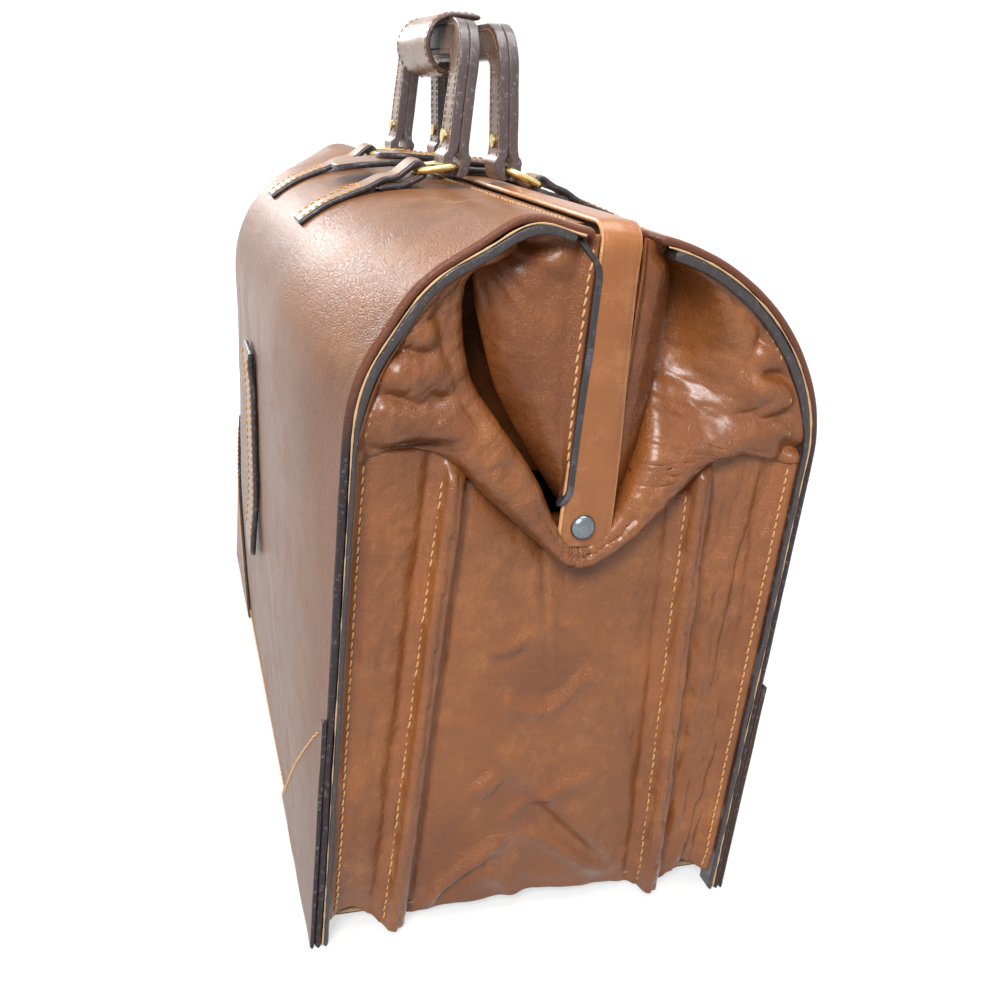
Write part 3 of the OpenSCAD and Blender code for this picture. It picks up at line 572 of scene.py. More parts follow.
def metal(name, base, dark, rough=0.25, wear=0.4):
    """Metal: fine noise mixes the base colour with the dark one by the share wear, and adds up to 0.25 of
    roughness."""
    m = bpy.data.materials.new(name)
    m.use_nodes = True
    t = m.node_tree
    bsdf = t.nodes["Principled BSDF"]
    vec = t.nodes.new("ShaderNodeTexCoord").outputs["Object"]
    n = ramp(t, noise_tex(t, vec, 900.0, 4.0, 0.7), [(0.45, 0.0), (0.75, 1.0)])
    t.links.new(mix_color(t, math_node(t, "MULTIPLY", n, wear), base, dark), bsdf.inputs["Base Color"])
    t.links.new(math_node(t, "ADD", math_node(t, "MULTIPLY", n, 0.25), rough), bsdf.inputs["Roughness"])
    bsdf.inputs["Metallic"].default_value = 1.0
    return m


def plain(name, base, rough, sheen=0.0):
    """One colour with a roughness and, for thread, a soft sheen."""
    m = bpy.data.materials.new(name)
    m.use_nodes = True
    bsdf = m.node_tree.nodes["Principled BSDF"]
    bsdf.inputs["Base Color"].default_value = (*base, 1)
    bsdf.inputs["Roughness"].default_value = rough
    bsdf.inputs["Sheen Weight"].default_value = sheen
    return m


# The leathers with their base, dark, light and edge colours; those with coords="object" are for CAD pieces
# The paler bluish greys given for the edges here and below speckle the dark painted edges: partly wear,
# partly a painted sheen of their gloss
EDGE = srgb(52, 44, 46)
EDGE_WEAR_AND_SHEEN = srgb(140, 142, 158)
M_PANEL = leather("panel_leather", srgb(136, 87, 52), srgb(106, 67, 42), srgb(162, 122, 90),
                  srgb(48, 40, 44),
                  rough=0.36, bump=0.4, coat=0.04, wear=0.4, cracks=0.7, edge_in=(0.5, 0.85),
                  edge_wear_and_sheen=srgb(120, 112, 118), edge_high=srgb(104, 60, 42))
M_GUSSET = leather("gusset_leather", srgb(146, 86, 40), srgb(112, 62, 30), srgb(176, 116, 66),
                   srgb(104, 58, 34), rough=0.24, bump=0.5, coat=0.6, wear=0.4, wrinkles=0.8)
# A darker, less glossy copy of the gusset leather for the folded ply deep in the cavity: painted shade
M_FOLD_SHADED = leather("gusset_leather_fold_shaded", srgb(134, 76, 38), srgb(100, 54, 26), srgb(162, 104, 60),
                 srgb(90, 48, 28), rough=0.30, bump=0.5, coat=0.4, wear=0.35, wrinkles=0.7)
# The rubbed colour of the rands and leg strips is that pale bluish grey: partly wear, partly a painted sheen
M_EDGE = leather("edge_leather", srgb(54, 48, 50), srgb(32, 28, 28), EDGE_WEAR_AND_SHEEN, srgb(54, 48, 50),
                 rough=0.24, bump=0.4, coat=0.6, wear=0.6, cracks=0.0)
M_PATCH = leather("patch_leather", srgb(128, 84, 56), srgb(96, 60, 40), srgb(160, 126, 100), EDGE,
                  rough=0.38, bump=0.22, coat=0.05, wear=0.45, cracks=0.3, edge_in=(0.6, 0.9),
                  edge_wear_and_sheen=EDGE_WEAR_AND_SHEEN)
M_STRAP = leather("strap_leather", srgb(150, 110, 80), srgb(112, 78, 54), srgb(190, 160, 132),
                  srgb(54, 48, 52), rough=0.38, bump=0.25, coat=0.3, wear=0.5, cracks=0.3, edge_in=(0.6, 0.9),
                  edge_wear_and_sheen=srgb(128, 128, 138))
M_HANDLE = leather("handle_leather", srgb(140, 104, 78), srgb(96, 68, 50), srgb(184, 160, 136),
                   srgb(84, 72, 72),
                   rough=0.32, bump=0.4, coat=0.45, wear=0.6, cracks=0.3, edge_in=(0.35, 0.75),
                   edge_wear_and_sheen=srgb(164, 166, 182))
M_WRAP = leather("wrap_leather", srgb(166, 120, 84), srgb(108, 76, 54), srgb(206, 188, 170),
                 srgb(76, 54, 46), rough=0.3, bump=0.25, coat=0.45, wear=0.7, cracks=0.2, edge_in=(0.6, 0.9),
                 edge_wear_and_sheen=EDGE_WEAR_AND_SHEEN)
M_TONGUE = leather("tongue_leather", srgb(164, 104, 60), srgb(134, 80, 44), srgb(194, 142, 98),
                   srgb(206, 150, 104),
                   rough=0.30, bump=0.25, coat=0.35, wear=0.35, cracks=0.0, edge_in=(0.72, 0.98))
M_COVER_CAD = leather("cover_leather_cad", srgb(120, 76, 48), srgb(88, 54, 34), srgb(150, 104, 72), EDGE,
                      rough=0.42, bump=0.2, coat=0.2, wear=0.4, coords="object")
SUEDE = (srgb(176, 146, 108), srgb(150, 120, 86), srgb(196, 170, 134), srgb(120, 92, 64))
M_LINING = leather("lining_suede", *SUEDE, rough=0.8, bump=0.35, coat=0.0, wear=0.4)
M_LINING_CAD = leather("lining_suede_cad", *SUEDE, rough=0.8, bump=0.35, coat=0.0, wear=0.4, coords="object")
M_BASE_CAD = leather("base_leather_cad", srgb(104, 66, 44), srgb(76, 48, 32), srgb(140, 100, 74), EDGE,
                     rough=0.45, bump=0.3, coat=0.2, wear=0.4, coords="object")
M_BRASS = metal("brass", srgb(226, 210, 148), srgb(168, 140, 84), rough=0.26, wear=0.35)
M_STEEL = metal("steel", srgb(180, 180, 184), srgb(110, 108, 106), rough=0.3, wear=0.4)
M_GUN = metal("gunmetal", srgb(124, 132, 138), srgb(60, 62, 66), rough=0.24, wear=0.5)
M_OCHRE = plain("thread_ochre", srgb(206, 152, 84), rough=0.65, sheen=0.3)
M_BROWN = plain("thread_brown", srgb(120, 88, 62), rough=0.6, sheen=0.2)
M_CREAM = plain("thread_cream", srgb(200, 162, 118), rough=0.6, sheen=0.2)
M_BOARD = plain("board", srgb(140, 122, 98), rough=0.9)


# Panels and arches

# Swell of the panels: (profile length, swell) in the middle of the bag
BELLY = smooth_line([(0, 0), (35, 2.0), (90, 6.0), (150, 9.0), (200, 11.5), (233, 14.0), (262, 16.5),
                     (285, 16.0), (304, 11.5), (318, 7.4), (330, 4.6), (345, 1.6), (360, 0.2), (372, 0),
                     (420, 0)], 12)


def belly(x, s, front=True):
    """Outward swell of the stuffed panels: zero at the ends and the floor, most over the shoulder. At the
    ends the front arch stands up a little beside its parting and is drawn in at the shoulder."""
    x = np.abs(np.asarray(x, float)) / HALF_L
    side = np.clip(1 - x ** 4.5, 0, 1) ** 1.25
    out = np.interp(s, BELLY[:, 0], BELLY[:, 1]) * side
    if front:
        ends = 6.2 * gauss(np.asarray(s) - 347, 15) - 2.6 * gauss(np.asarray(s) - 283, 20)
        out = out + smooth((x - 0.45) / 0.5) * ends
    return out


class Side:
    """One long side: its profile, the sign of its Y, and the body that its arch rides on."""

    def __init__(self, name, sign, n):
        self.name, self.sign, self.n = name, sign, n
        self.outer = arch_profile(n, 9.8)
        self.body = name + "_arch"
        self.hinge = ((0, sign * 0.1025, 0.226), (0, sign * 0.1025, 0.244))

    def place(self, curve, ripple=0.25):
        """The middle surface of a sheet for slab(): the curve, swollen like the panels, with slight
        ripples."""
        def f(S, C):
            p, n = curve.at(S)
            out = belly(C, S, self.sign < 0)
            out = out + ripple * fbm(C / 38, S / 30, 0, 3 if self.sign < 0 else 43)
            q = p + n * out[..., None]
            P = np.stack([C, self.sign * q[..., 0], q[..., 1]], -1)
            N = np.stack([np.zeros_like(C), self.sign * n[..., 0], n[..., 1]], -1)
            return P, N
        return f

    def blend(self, o):
        """Bakes a piece's placement into its mesh."""
        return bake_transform(o)


SIDES = [Side("front", -1, FULL_FRONT), Side("back", 1, FULL_BACK)]


def length_steps(total, step, fine=(), fine_step=1.2):
    """Stations from 0 to total, closer together inside the fine spans."""
    out = [0.0]
    while out[-1] < total:
        here = out[-1]
        close = any(a <= here <= b for a, b in fine)
        out.append(min(total, here + (fine_step if close else step)))
    return np.array(out)


def across_steps(w, step, fine, fine_step=1.3):
    """Stations from -w to w, closer together within fine of both edges."""
    right = length_steps(w, step, [(w - fine, w)], fine_step)
    return np.concatenate([-right[:0:-1], right])


def make_shell(side):
    """Panel and arch in one sheet: profile length S up the side and over the top, C along the body. At both
    ends of the bag the sheet stops farther from the parting."""
    c = side.outer
    end_mid, end_out = c.s_at_u(10.2), c.s_at_u(16.4)
    mid = Curve(c.p - c.n * PANEL_T / 2)
    base = side.place(mid)

    def f(S, C):
        stop = end_out + (end_mid - end_out) * smooth((195.5 - np.abs(C)) / 2.0)
        late = smooth((S - 300) / (end_mid - 300))
        return base(S * (1 - late * (1 - stop / end_mid)), C)

    s = length_steps(end_mid, 3.2, [(215, end_mid - 60)], 2.6)
    o = slab(side.name + "_shell", f, s, across_steps(HALF_L, 4.5, 14), PANEL_T, [M_PANEL],
             9.0, flip=side.sign > 0)
    side.blend(o)
    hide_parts(side.name + "_panel", side.name + "_arch")
    return o


def make_linings(side):
    """Suede sheet under panel and arch, from above the base to short of the parting."""
    c = side.outer
    cur = Curve(c.p - c.n * (PANEL_T + LINING_T / 2 + 0.1))
    s = np.concatenate([[10.6], length_steps(cur.s_at_u(19.5), 8.0)[2:]])
    o = slab(side.name + "_lining", side.place(cur, 0.1), s, across_steps(203.5, 12, 10, 4), LINING_T,
             [M_LINING], flip=side.sign > 0)
    side.blend(o)
    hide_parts(side.name + "_panel_lining", side.name + "_arch_lining")


def make_rands(side):
    """Inner ply along each end edge, dark and rounded, from the floor to near the parting, and the pale
    thread that shows between it and the panel. Above the shoulder the ply is thicker and lies a little
    deeper."""
    c = side.outer
    cur = Curve(c.p - c.n * (PANEL_T + RAND_T / 2 + 0.05))
    seam = Curve(c.p - c.n * (PANEL_T + 0.1))

    def upper(S):
        return smooth((S - 225) / 50)

    for e in (1, -1):
        def f(S, C, e=e):
            P, N = side.place(cur, 0.0)(S, np.full_like(C, e * HALF_L))
            wob = 0.3 * fbm(S / 16, e * 3.0, 0, 11 + side.sign)
            P = P + np.stack([C - e * HALF_L + e * wob, 0 * S, 0 * S], -1)
            return P + N * (0.2 * fbm(S / 11, 7.0, 0, 5) - 0.9 * upper(S))[..., None], N
        cols = e * np.array([204.6, 207, 209, 211, 213, 214, HALF_L])
        o = slab(f"{side.name}_rand_{end_name(e)}", f, length_steps(cur.s_at_u(20.5), 2.2), np.sort(cols),
                 RAND_T, [M_EDGE], flip=side.sign > 0, swell=lambda S: 1 + 0.72 * upper(S))
        side.blend(o)
        if e > 0:
            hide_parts(side.name + "_panel_rands", side.name + "_arch_rands")
        s = length_steps(seam.s_at_u(17), 1.6)
        p, n = seam.at(s)
        p = p + n * belly(HALF_L, s, side.sign < 0)[:, None]
        path = np.stack([e * (214.75 + 0.15 * fbm(s / 9, 2.0, 0, 23)), side.sign * p[:, 0], p[:, 1]], 1)
        girth = (0.1 + 0.3 * smooth((s - 205) / 40) + 0.2 * smooth((60 - s) / 40)
                 + 0.22 * fbm(s / 9, 0.5, 0, 9))
        girth = np.clip(girth, 0.06, 0.66)
        side.blend(tube(f"{side.name}_seam_{end_name(e)}", path[1:], girth[1:], [M_CREAM],
                        8))


for side in SIDES:
    make_shell(side)
    make_linings(side)
    make_rands(side)


# End gussets

# (y, z) along the upper gusset's roll, and along its outer border, from the top to the middle line. The key
# is -1 for the front half and 1 for the back half; in both of them y is negative outwards from the middle.
ROLL = {-1: [(-36, 309.5), (-46, 305.5), (-55, 301.5), (-58.5, 293), (-57.5, 279), (-55, 267), (-50, 255),
             (-43, 245.5), (-35.5, 236), (-28, 227), (-20.5, 216), (-12.5, 201), (-5, 191.6), (0, 190)],
        1: [(-17, 314), (-24, 303), (-27, 289), (-29.5, 274), (-30, 260), (-29, 248), (-27, 236),
            (-24.5, 226), (-22, 217), (-18.5, 208), (-13, 198), (-5, 191.4), (0, 190)]}
OUTER = {-1: [(-42, 315), (-58, 305), (-73, 292), (-88.5, 267), (-95.5, 246), (-97, 228.5), (-82, 231),
              (-63, 230.5), (-51, 221.5), (-39, 210.5), (-27, 200.5), (-15, 190.5), (-6, 183.4),
              (0, 181.6)],
         1: [(-20, 316.5), (-50, 303.5), (-73, 286.5), (-89, 264), (-95.6, 244), (-97, 228.5), (-80, 231),
             (-62, 230), (-50, 221), (-36, 205.5), (-20, 190.5), (-8, 182.6), (0, 180.8)]}
ROLL = {k: smooth_line(v, 30) for k, v in ROLL.items()}
OUTER = {k: smooth_line(v, 30) for k, v in OUTER.items()}
# The lower gusset's outermost y, and the height of its lower border over y
LOW_EDGE = 96.8
FOOT = ([0, 45.5, 60, 72, 83.75, LOW_EDGE], [8, 5, 2, 2.5, 13, 9])
WELT_TOP = 222.0
# Seeds of the lower gusset's noise at the right and the left end
LOW_SEED = {1: 50, -1: 90}

# Folds drawn on the wings, where y is negative outwards in either half, and on the lower gusset's middle,
# where y is negative towards the front: the points (y, z), the height (a hollow is negative) and the width of
# each. All of them are then made higher and wider by the same factors.
FOLD_HEIGHT, FOLD_WIDTH = 1.1, 1.35
WING_FOLDS = [
    ([(-97, 240), (-82, 247), (-66, 247), (-50, 239)], 2.6, 5.5),
    ([(-95, 254), (-86, 255), (-74, 251), (-60, 253)], -3.2, 2.4),
    ([(-91, 262), (-78, 261), (-62, 266)], 3.2, 5.0), ([(-89, 270), (-80, 272), (-68, 269)], -2.4, 2.2),
    ([(-80, 237), (-66, 236), (-52, 228)], -1.6, 2.4), ([(-80, 284), (-73, 283), (-65, 287)], -1.6, 1.8),
    ([(-86, 276), (-76, 277), (-64, 278)], 2.2, 3.6),
    ([(-64, 300), (-70, 288), (-67, 275), (-60, 262)], -1.8, 2.0),
    ([(-72, 298), (-77, 287), (-74, 278)], 1.6, 3.0), ([(-76, 262), (-70, 256), (-58, 251)], -1.4, 1.5),
]
CENTRE_FOLDS = [
    ([(-12, 192), (-9, 164), (-5, 140), (-1, 104)], -1.2, 1.7),
    ([(-16, 186), (-13, 160), (-8, 130)], 1.0, 3.0),
    ([(-8, 170), (-4, 140), (0, 116)], 1.5, 2.4),
    ([(-6, 159), (5, 149), (18, 136), (31, 112), (41, 78), (51, 36)], 1.7, 3.4),
    ([(-2, 150), (9, 140), (18, 126)], -1.3, 1.8),
    ([(-28, 117), (-12, 108), (0, 107), (9, 116), (18, 128)], 1.5, 2.3),
    ([(-26, 123), (-10, 116), (0, 115), (8, 125), (16, 136)], -0.7, 2.6),
    ([(15, 130), (22, 117), (27, 102)], 1.2, 2.2),
    ([(-40, 108), (-16, 82), (-2, 68), (26, 40), (48, 12)], 2.8, 4.0),
    ([(-10, 66), (10, 46), (28, 28), (44, 10)], -1.8, 2.6),
    ([(-22, 46), (-11, 57), (-2, 62), (31, 73)], 1.6, 2.6),
    ([(-18, 52), (4, 38), (26, 23), (47, 8)], 2.4, 3.0),
    ([(-56, -2), (-44, 17), (-30, 31), (-10, 44)], 2.6, 3.0), ([(-46, 6), (-34, 20), (-18, 32)], -1.6, 2.2),
    ([(-30, 33), (-11, 13), (6, -12)], 2.2, 3.2), ([(-33, 139), (-22, 140), (-13, 147)], 1.2, 2.0),
    ([(-32, 133), (-21, 134), (-12, 140)], -0.8, 1.4), ([(-31, 76), (-23, 68)], 2.4, 5.0),
    ([(44, 205), (40, 170), (44, 120)], -1.2, 4.0),
]


def folds(y, z, table):
    """Sum of the folds: the height times the bell curve of the distance to the line, fading at both its
    ends."""
    total = np.zeros(np.shape(y))
    for points, high, width in table:
        d, t = seg_distance(y, z, points)
        total = total + FOLD_HEIGHT * high * gauss(d, FOLD_WIDTH * width) * np.clip(5.0 * t * (1 - t), 0, 1)
    return total


def welt_y(z):
    """The welt's distance from the middle line: 65 mm at the floor, and 10 mm less at 218 mm of height."""
    return 65.0 - 10.0 * np.asarray(z) / 218.0


def low_x(y, z, seed, back):
    """Height of the lower gusset outward from the bag. y counts outward from the middle line for either
    half, and is negative across it. A flat sheet carries the welt's round ridge, the side strip's swell,
    folds and fine wrinkles."""
    sy = y if back else -y
    x = 202.6 + 3.2 * smooth((175 - z) / 150) + 1.4 * gauss(y - 25, 16) * smooth((150 - z) / 90)
    d = y - welt_y(z)
    side = smooth((y - 57) / 5)
    x = x + side * 1.0
    across = np.clip(np.sin(math.pi * np.clip((y - 66) / 33, 0, 1)), 0, 1)
    x = x + 3.4 * across * smooth(z / 50) * (0.75 + 0.4 * noise(y / 30, z / 60, 0, seed))
    low_side = d * (1 if back else -1)
    ridge = np.clip(1 - np.abs(d / 5.2) ** 2.8, 0, 1) ** (1 / 2.8)
    fade = smooth((WELT_TOP + 9 - z) / 12)
    x = x + fade * (6.8 * ridge + 1.6 * smooth((9.5 - np.abs(d)) / 3) * (low_side < 0))
    x = x - 1.6 * gauss(low_side - 6.6, 1.9) * fade - 1.0 * gauss(low_side + 11.0, 2.2)
    x = x + folds(sy, z, CENTRE_FOLDS) * (1 - side) * smooth((54 - y) / 8)
    tall = fbm(sy / (2.6 if back else 5.0), z / (20 if back else 40), 1.0, seed + 5)
    tall = tall * side * (1.1 if back else 0.45) * smooth(np.abs(d) / 6)
    x = x + tall * (0.6 + 0.6 * smooth((230 - z) / 60))
    x = x + 0.5 * fbm(sy / 12, z / 16, 2.0, seed + 9)
    x = x + 0.16 * fbm(sy / 3.2, z / 4.5, 3.0, seed + 11) * (0.6 + side)
    edge = smooth((y - (86.5 if back else 91.0)) / (9.0 if back else 5.0))
    x = x * (1 - edge) + (212.4 if back else 210.5) * edge
    hem = smooth((12 - (z - np.interp(y, *FOOT))) / 10)
    hollow = gauss(z - top_z(np.abs(y)) + 3, 15) * smooth((58 - y) / 12)
    return x - 1.0 * hem - 4.6 * hollow - 7.0 * smooth((z - 230) / 6) * smooth((y - 60) / 6)


def normal_of(rows, cols, P):
    """Unit normals of a grid of points, from the two directions' differences."""
    G = P.reshape(rows, cols, 3)
    n = np.cross(np.gradient(G, axis=1), np.gradient(G, axis=0))
    n /= np.linalg.norm(n, axis=-1)[..., None] + 1e-12
    return n.reshape(-1, 3)


def sheet_mesh(name, rows, cols, P, mats, flip, thick=1.3):
    """An open sheet on a grid with a second face under it and a closed rim, so that it has a real
    thickness."""
    n = normal_of(rows, cols, P)
    back = P - n * thick * (-1 if flip else 1)
    verts = np.vstack([P, back])
    top = grid_faces(rows, cols)
    low = [tuple(v + rows * cols for v in reversed(f)) for f in top]
    rim = [(0, c) for c in range(cols)] + [(r, cols - 1) for r in range(1, rows)]
    rim += [(rows - 1, c) for c in range(cols - 2, -1, -1)] + [(r, 0) for r in range(rows - 2, 0, -1)]
    ids = [r * cols + c for r, c in rim]
    k = len(ids)
    wall = [(ids[(i + 1) % k], ids[i], ids[i] + rows * cols, ids[(i + 1) % k] + rows * cols)
            for i in range(k)]
    attrs = [("edge", np.zeros(len(verts)))]
    return add_mesh(name, verts, top + low + wall, mats, attrs, flat_from=len(top) + len(low),
                    flip=flip)


def blend_low(o):
    """Bakes the placement of a piece of the lower gusset into its mesh."""
    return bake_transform(o)


def top_z(y):
    """Upper border of the lower gusset: under the wing's fold beside the rand, and behind the lip."""
    lip = np.interp(y, [0, 10, 25, 40, 52, 64], [186, 192, 205, 221, 232, 236])
    return np.where(y > 64, 236 - 1.5 * smooth((y - 64) / 30), lip)


def make_low(e, sy, step, seed):
    """Lower gusset of one half: columns from the middle line to the rand, rows from the foot to the lip."""
    tag = end_name(e) + "_" + side_name(sy)
    cols = np.concatenate([-step * np.array([3, 2, 1]), np.linspace(0, LOW_EDGE, int(LOW_EDGE / step))])
    s = np.linspace(0, 1, int(230 / step / 1.1))
    Y, S = np.meshgrid(cols, s)
    z0, z1 = np.interp(np.abs(Y), *FOOT), top_z(np.abs(Y))
    Z = z0 + S * (z1 - z0)
    w = 0.5 * (1 - smooth(np.abs(Y) / 7))
    w = np.where(Y < 0, 1 - w, w)
    X = low_x(Y, Z, seed, sy > 0) * (1 - w) + low_x(-Y, Z, seed, sy < 0) * w
    X = X - 0.03 * (np.minimum(Y, 0) / step) ** 2
    P = np.stack([e * X, sy * Y, Z], -1).reshape(-1, 3)
    o = sheet_mesh("gusset_low_" + tag, len(s), len(cols), P, [M_GUSSET], e * sy < 0)
    blend_low(o)
    count = 160
    outward = np.tile([e * 1.0, 0.0, 0.0], (count, 1))
    z = np.linspace(5, WELT_TOP - 3, count)
    y = welt_y(z) + (5.6 if sy < 0 else -5.6)
    beside_welt = np.stack([e * (low_x(y, z, seed, sy > 0) + 0.4), sy * y, z], 1)
    z = np.linspace(12, 226, count)
    y = np.full(count, 92.6)
    beside_rand = np.stack([e * (low_x(y, z, seed, sy > 0) + 0.3), sy * y, z], 1)
    rows = [(beside_welt, outward), (beside_rand, outward)]
    blend_low(stitches("stitch_low_" + tag, rows, [M_OCHRE], "gusset_leather"))
    return o


def upper_point(t, v, e, sy, seed):
    """Wing and lip: t runs from the top to the middle line, v from the outer border over the roll into the
    bag. The border lies on the rand above, sinks into the lower gusset beside the welt, and is free along
    the lip."""
    back = sy > 0
    past = np.maximum(t - 1, 0)
    t = 1 - np.abs(1 - t)
    roll, outer = ROLL[sy], OUTER[sy]
    i = t * (len(roll) - 1)
    R = np.stack([np.interp(i, np.arange(len(roll)), roll[:, k]) for k in (0, 1)], -1)
    O = np.stack([np.interp(i, np.arange(len(outer)), outer[:, k]) for k in (0, 1)], -1)
    r = 3.2 + 4.5 * (1 - smooth((t - 0.55) / 0.4))
    step = R - O
    step = step / (np.hypot(step[..., 0], step[..., 1])[..., None] + 1e-9)
    near = 0.5 + 0.5 * smooth(t / 0.15) if back else 1.0
    R = R - step * (r * near)[..., None]
    wide = np.hypot(*np.moveaxis(R - O, -1, 0))
    a = np.clip(v, 0, 1)
    mid = O + (R - O) * a[..., None]
    y, z = mid[..., 0], mid[..., 1]
    lip = smooth((t - 0.46) / 0.14)
    puff = np.sin(math.pi * np.clip(a, 0, 1) ** 0.8) ** 0.75
    inward = (22.0 if back else 0.0) * smooth((a - 0.4) / 0.6) * smooth((0.5 - t) / 0.25)
    x = 205.6 + (1 - lip) * (4.4 * puff - 2.0 * smooth((0.2 - t) / 0.2) - inward)
    round_lip = 12.6 * np.sqrt(np.clip(1 - (1 - np.clip(a / 0.5, 0, 1)) ** 2, 0, 1))
    x = x + lip * (round_lip - 6.4 - 1.4 * smooth((a - 0.6) / 0.4))
    flat = smooth(a / 0.12) * (1 - lip * 0.6)
    yy, zz = (-y, z) if back else (y, z)
    drawn = folds(y + (5 * noise(z / 25, 0.3, 0, 77) if back else 0), z + (4.0 if back else 0), WING_FOLDS)
    x = x + drawn * flat * smooth((1 - a) / 0.1 + 0.35)
    own = 1 - smooth((t - 0.8) / 0.2)
    x = x + 0.75 * fbm(t * 26, a * 2.2, 4.0, seed + 3) * own * smooth(a / 0.15) * (1 - 0.75 * lip)
    x = x + 0.5 * fbm(yy / 9, zz / 9, 5.0, seed + 21) * own * smooth(a / 0.2)
    x = (x + 0.2 * fbm(yy / 2.6, zz / 4.2, 5.0, 31) * own * smooth(a / 0.2)
         + lip * 0.4 * fbm(t * 60, a * 3, 0, 8))
    reach = a * wide
    rand = smooth((0.4 - t) / 0.05)
    x = x + rand * (212.2 - x) * (1 - smooth(reach / (11.0 if back else 7.0)))
    x = x - 12.0 * (1 - smooth(t / 0.09))
    sunk = smooth((t - 0.35) / 0.05) * (1 - smooth((t - 0.48) / 0.1))
    k = sunk * (1 - smooth(reach / 15.0))
    x = x * (1 - k) + (low_x(-y, z, LOW_SEED[e], back) - 1.2 * sunk * (1 - smooth(reach / 5.0))) * k
    b = np.clip((v - 1) / 0.5, 0, 1) * math.pi / 2
    deep = np.clip(v - 1.5, 0, 1) * 42.0
    y = y + step[..., 0] * r * np.sin(b)
    z = z + step[..., 1] * r * np.sin(b)
    x = x - r * (1 - np.cos(b)) - deep
    y = y * np.where(past > 0, -1, 1)
    return np.stack([e * x, (-1 if back else 1) * y, z], -1)


def make_upper(e, sy, step, seed):
    """The wing rides the arch; the lip is baked in place. Each runs on under its neighbour by three rows,
    sunk a little, so that the seam between them doesn't show."""
    tag = end_name(e) + "_" + side_name(sy)
    name = side_name(sy)
    total, wide = 215.0, 46
    split = 0.62
    d = step / total
    v = [np.linspace(0, 1, int(wide / step)), np.linspace(1, 1.5, 9)[1:], np.linspace(1.5, 2.3, 7)[1:]]
    v = np.concatenate(v)
    more = np.array([1, 2, 3])
    for part, t0, t1 in (("wing", 0.0, split), ("lip", split, 1.0)):
        t = np.linspace(t0, t1, int(total * (t1 - t0) / step))
        t = np.concatenate([t, t1 + d * more])
        if part == "lip":
            t = np.concatenate([t0 - d * more[::-1], t])
        T, V = np.meshgrid(t, v, indexing="ij")
        P = upper_point(T, V, e, sy, seed)
        over = np.maximum(np.maximum(T - t1, (t0 - T) * (part == "lip")), 0) / d
        P[..., 0] -= e * 0.06 * over ** 2
        o = sheet_mesh(f"gusset_{part}_{tag}", len(t), len(v), P.reshape(-1, 3), [M_GUSSET],
                       e * sy > 0)
        if part == "wing":
            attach(o, name + "_arch")
            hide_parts(f"{end_name(e)}_{name}_wing")
        else:
            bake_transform(o)
    t = np.linspace(0.05, 0.38, 170)
    P = upper_point(t, 4.6 / 34.0 + 0 * t, e, sy, seed)
    row = (P + np.array([e * 0.75, 0, 0]), np.tile([e * 1.0, 0, 0], (len(t), 1)))
    s = stitches("stitch_wing_" + tag, [row], [M_OCHRE], "gusset_leather")
    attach(s, name + "_arch")


# (y, z) of the folded ply's deep line, and of its line beside the frame's leg, from the top down
TRI_DEEP = {-1: smooth_line([(-34, 316), (-50, 304), (-51, 291), (-44.5, 270), (-37, 251), (-21, 227),
                             (-6, 206)], 30),
            1: smooth_line([(-20, 315), (-28.5, 303), (-29.5, 288), (-29, 268), (-28, 251), (-26, 229),
                            (-21, 204)], 30)}
TRI_LEG = smooth_line([(-9.6, 318), (-9.6, 300), (-9.6, 280), (-9.6, 262), (-9.4, 244), (-9, 226),
                       (-6, 206)], 30)


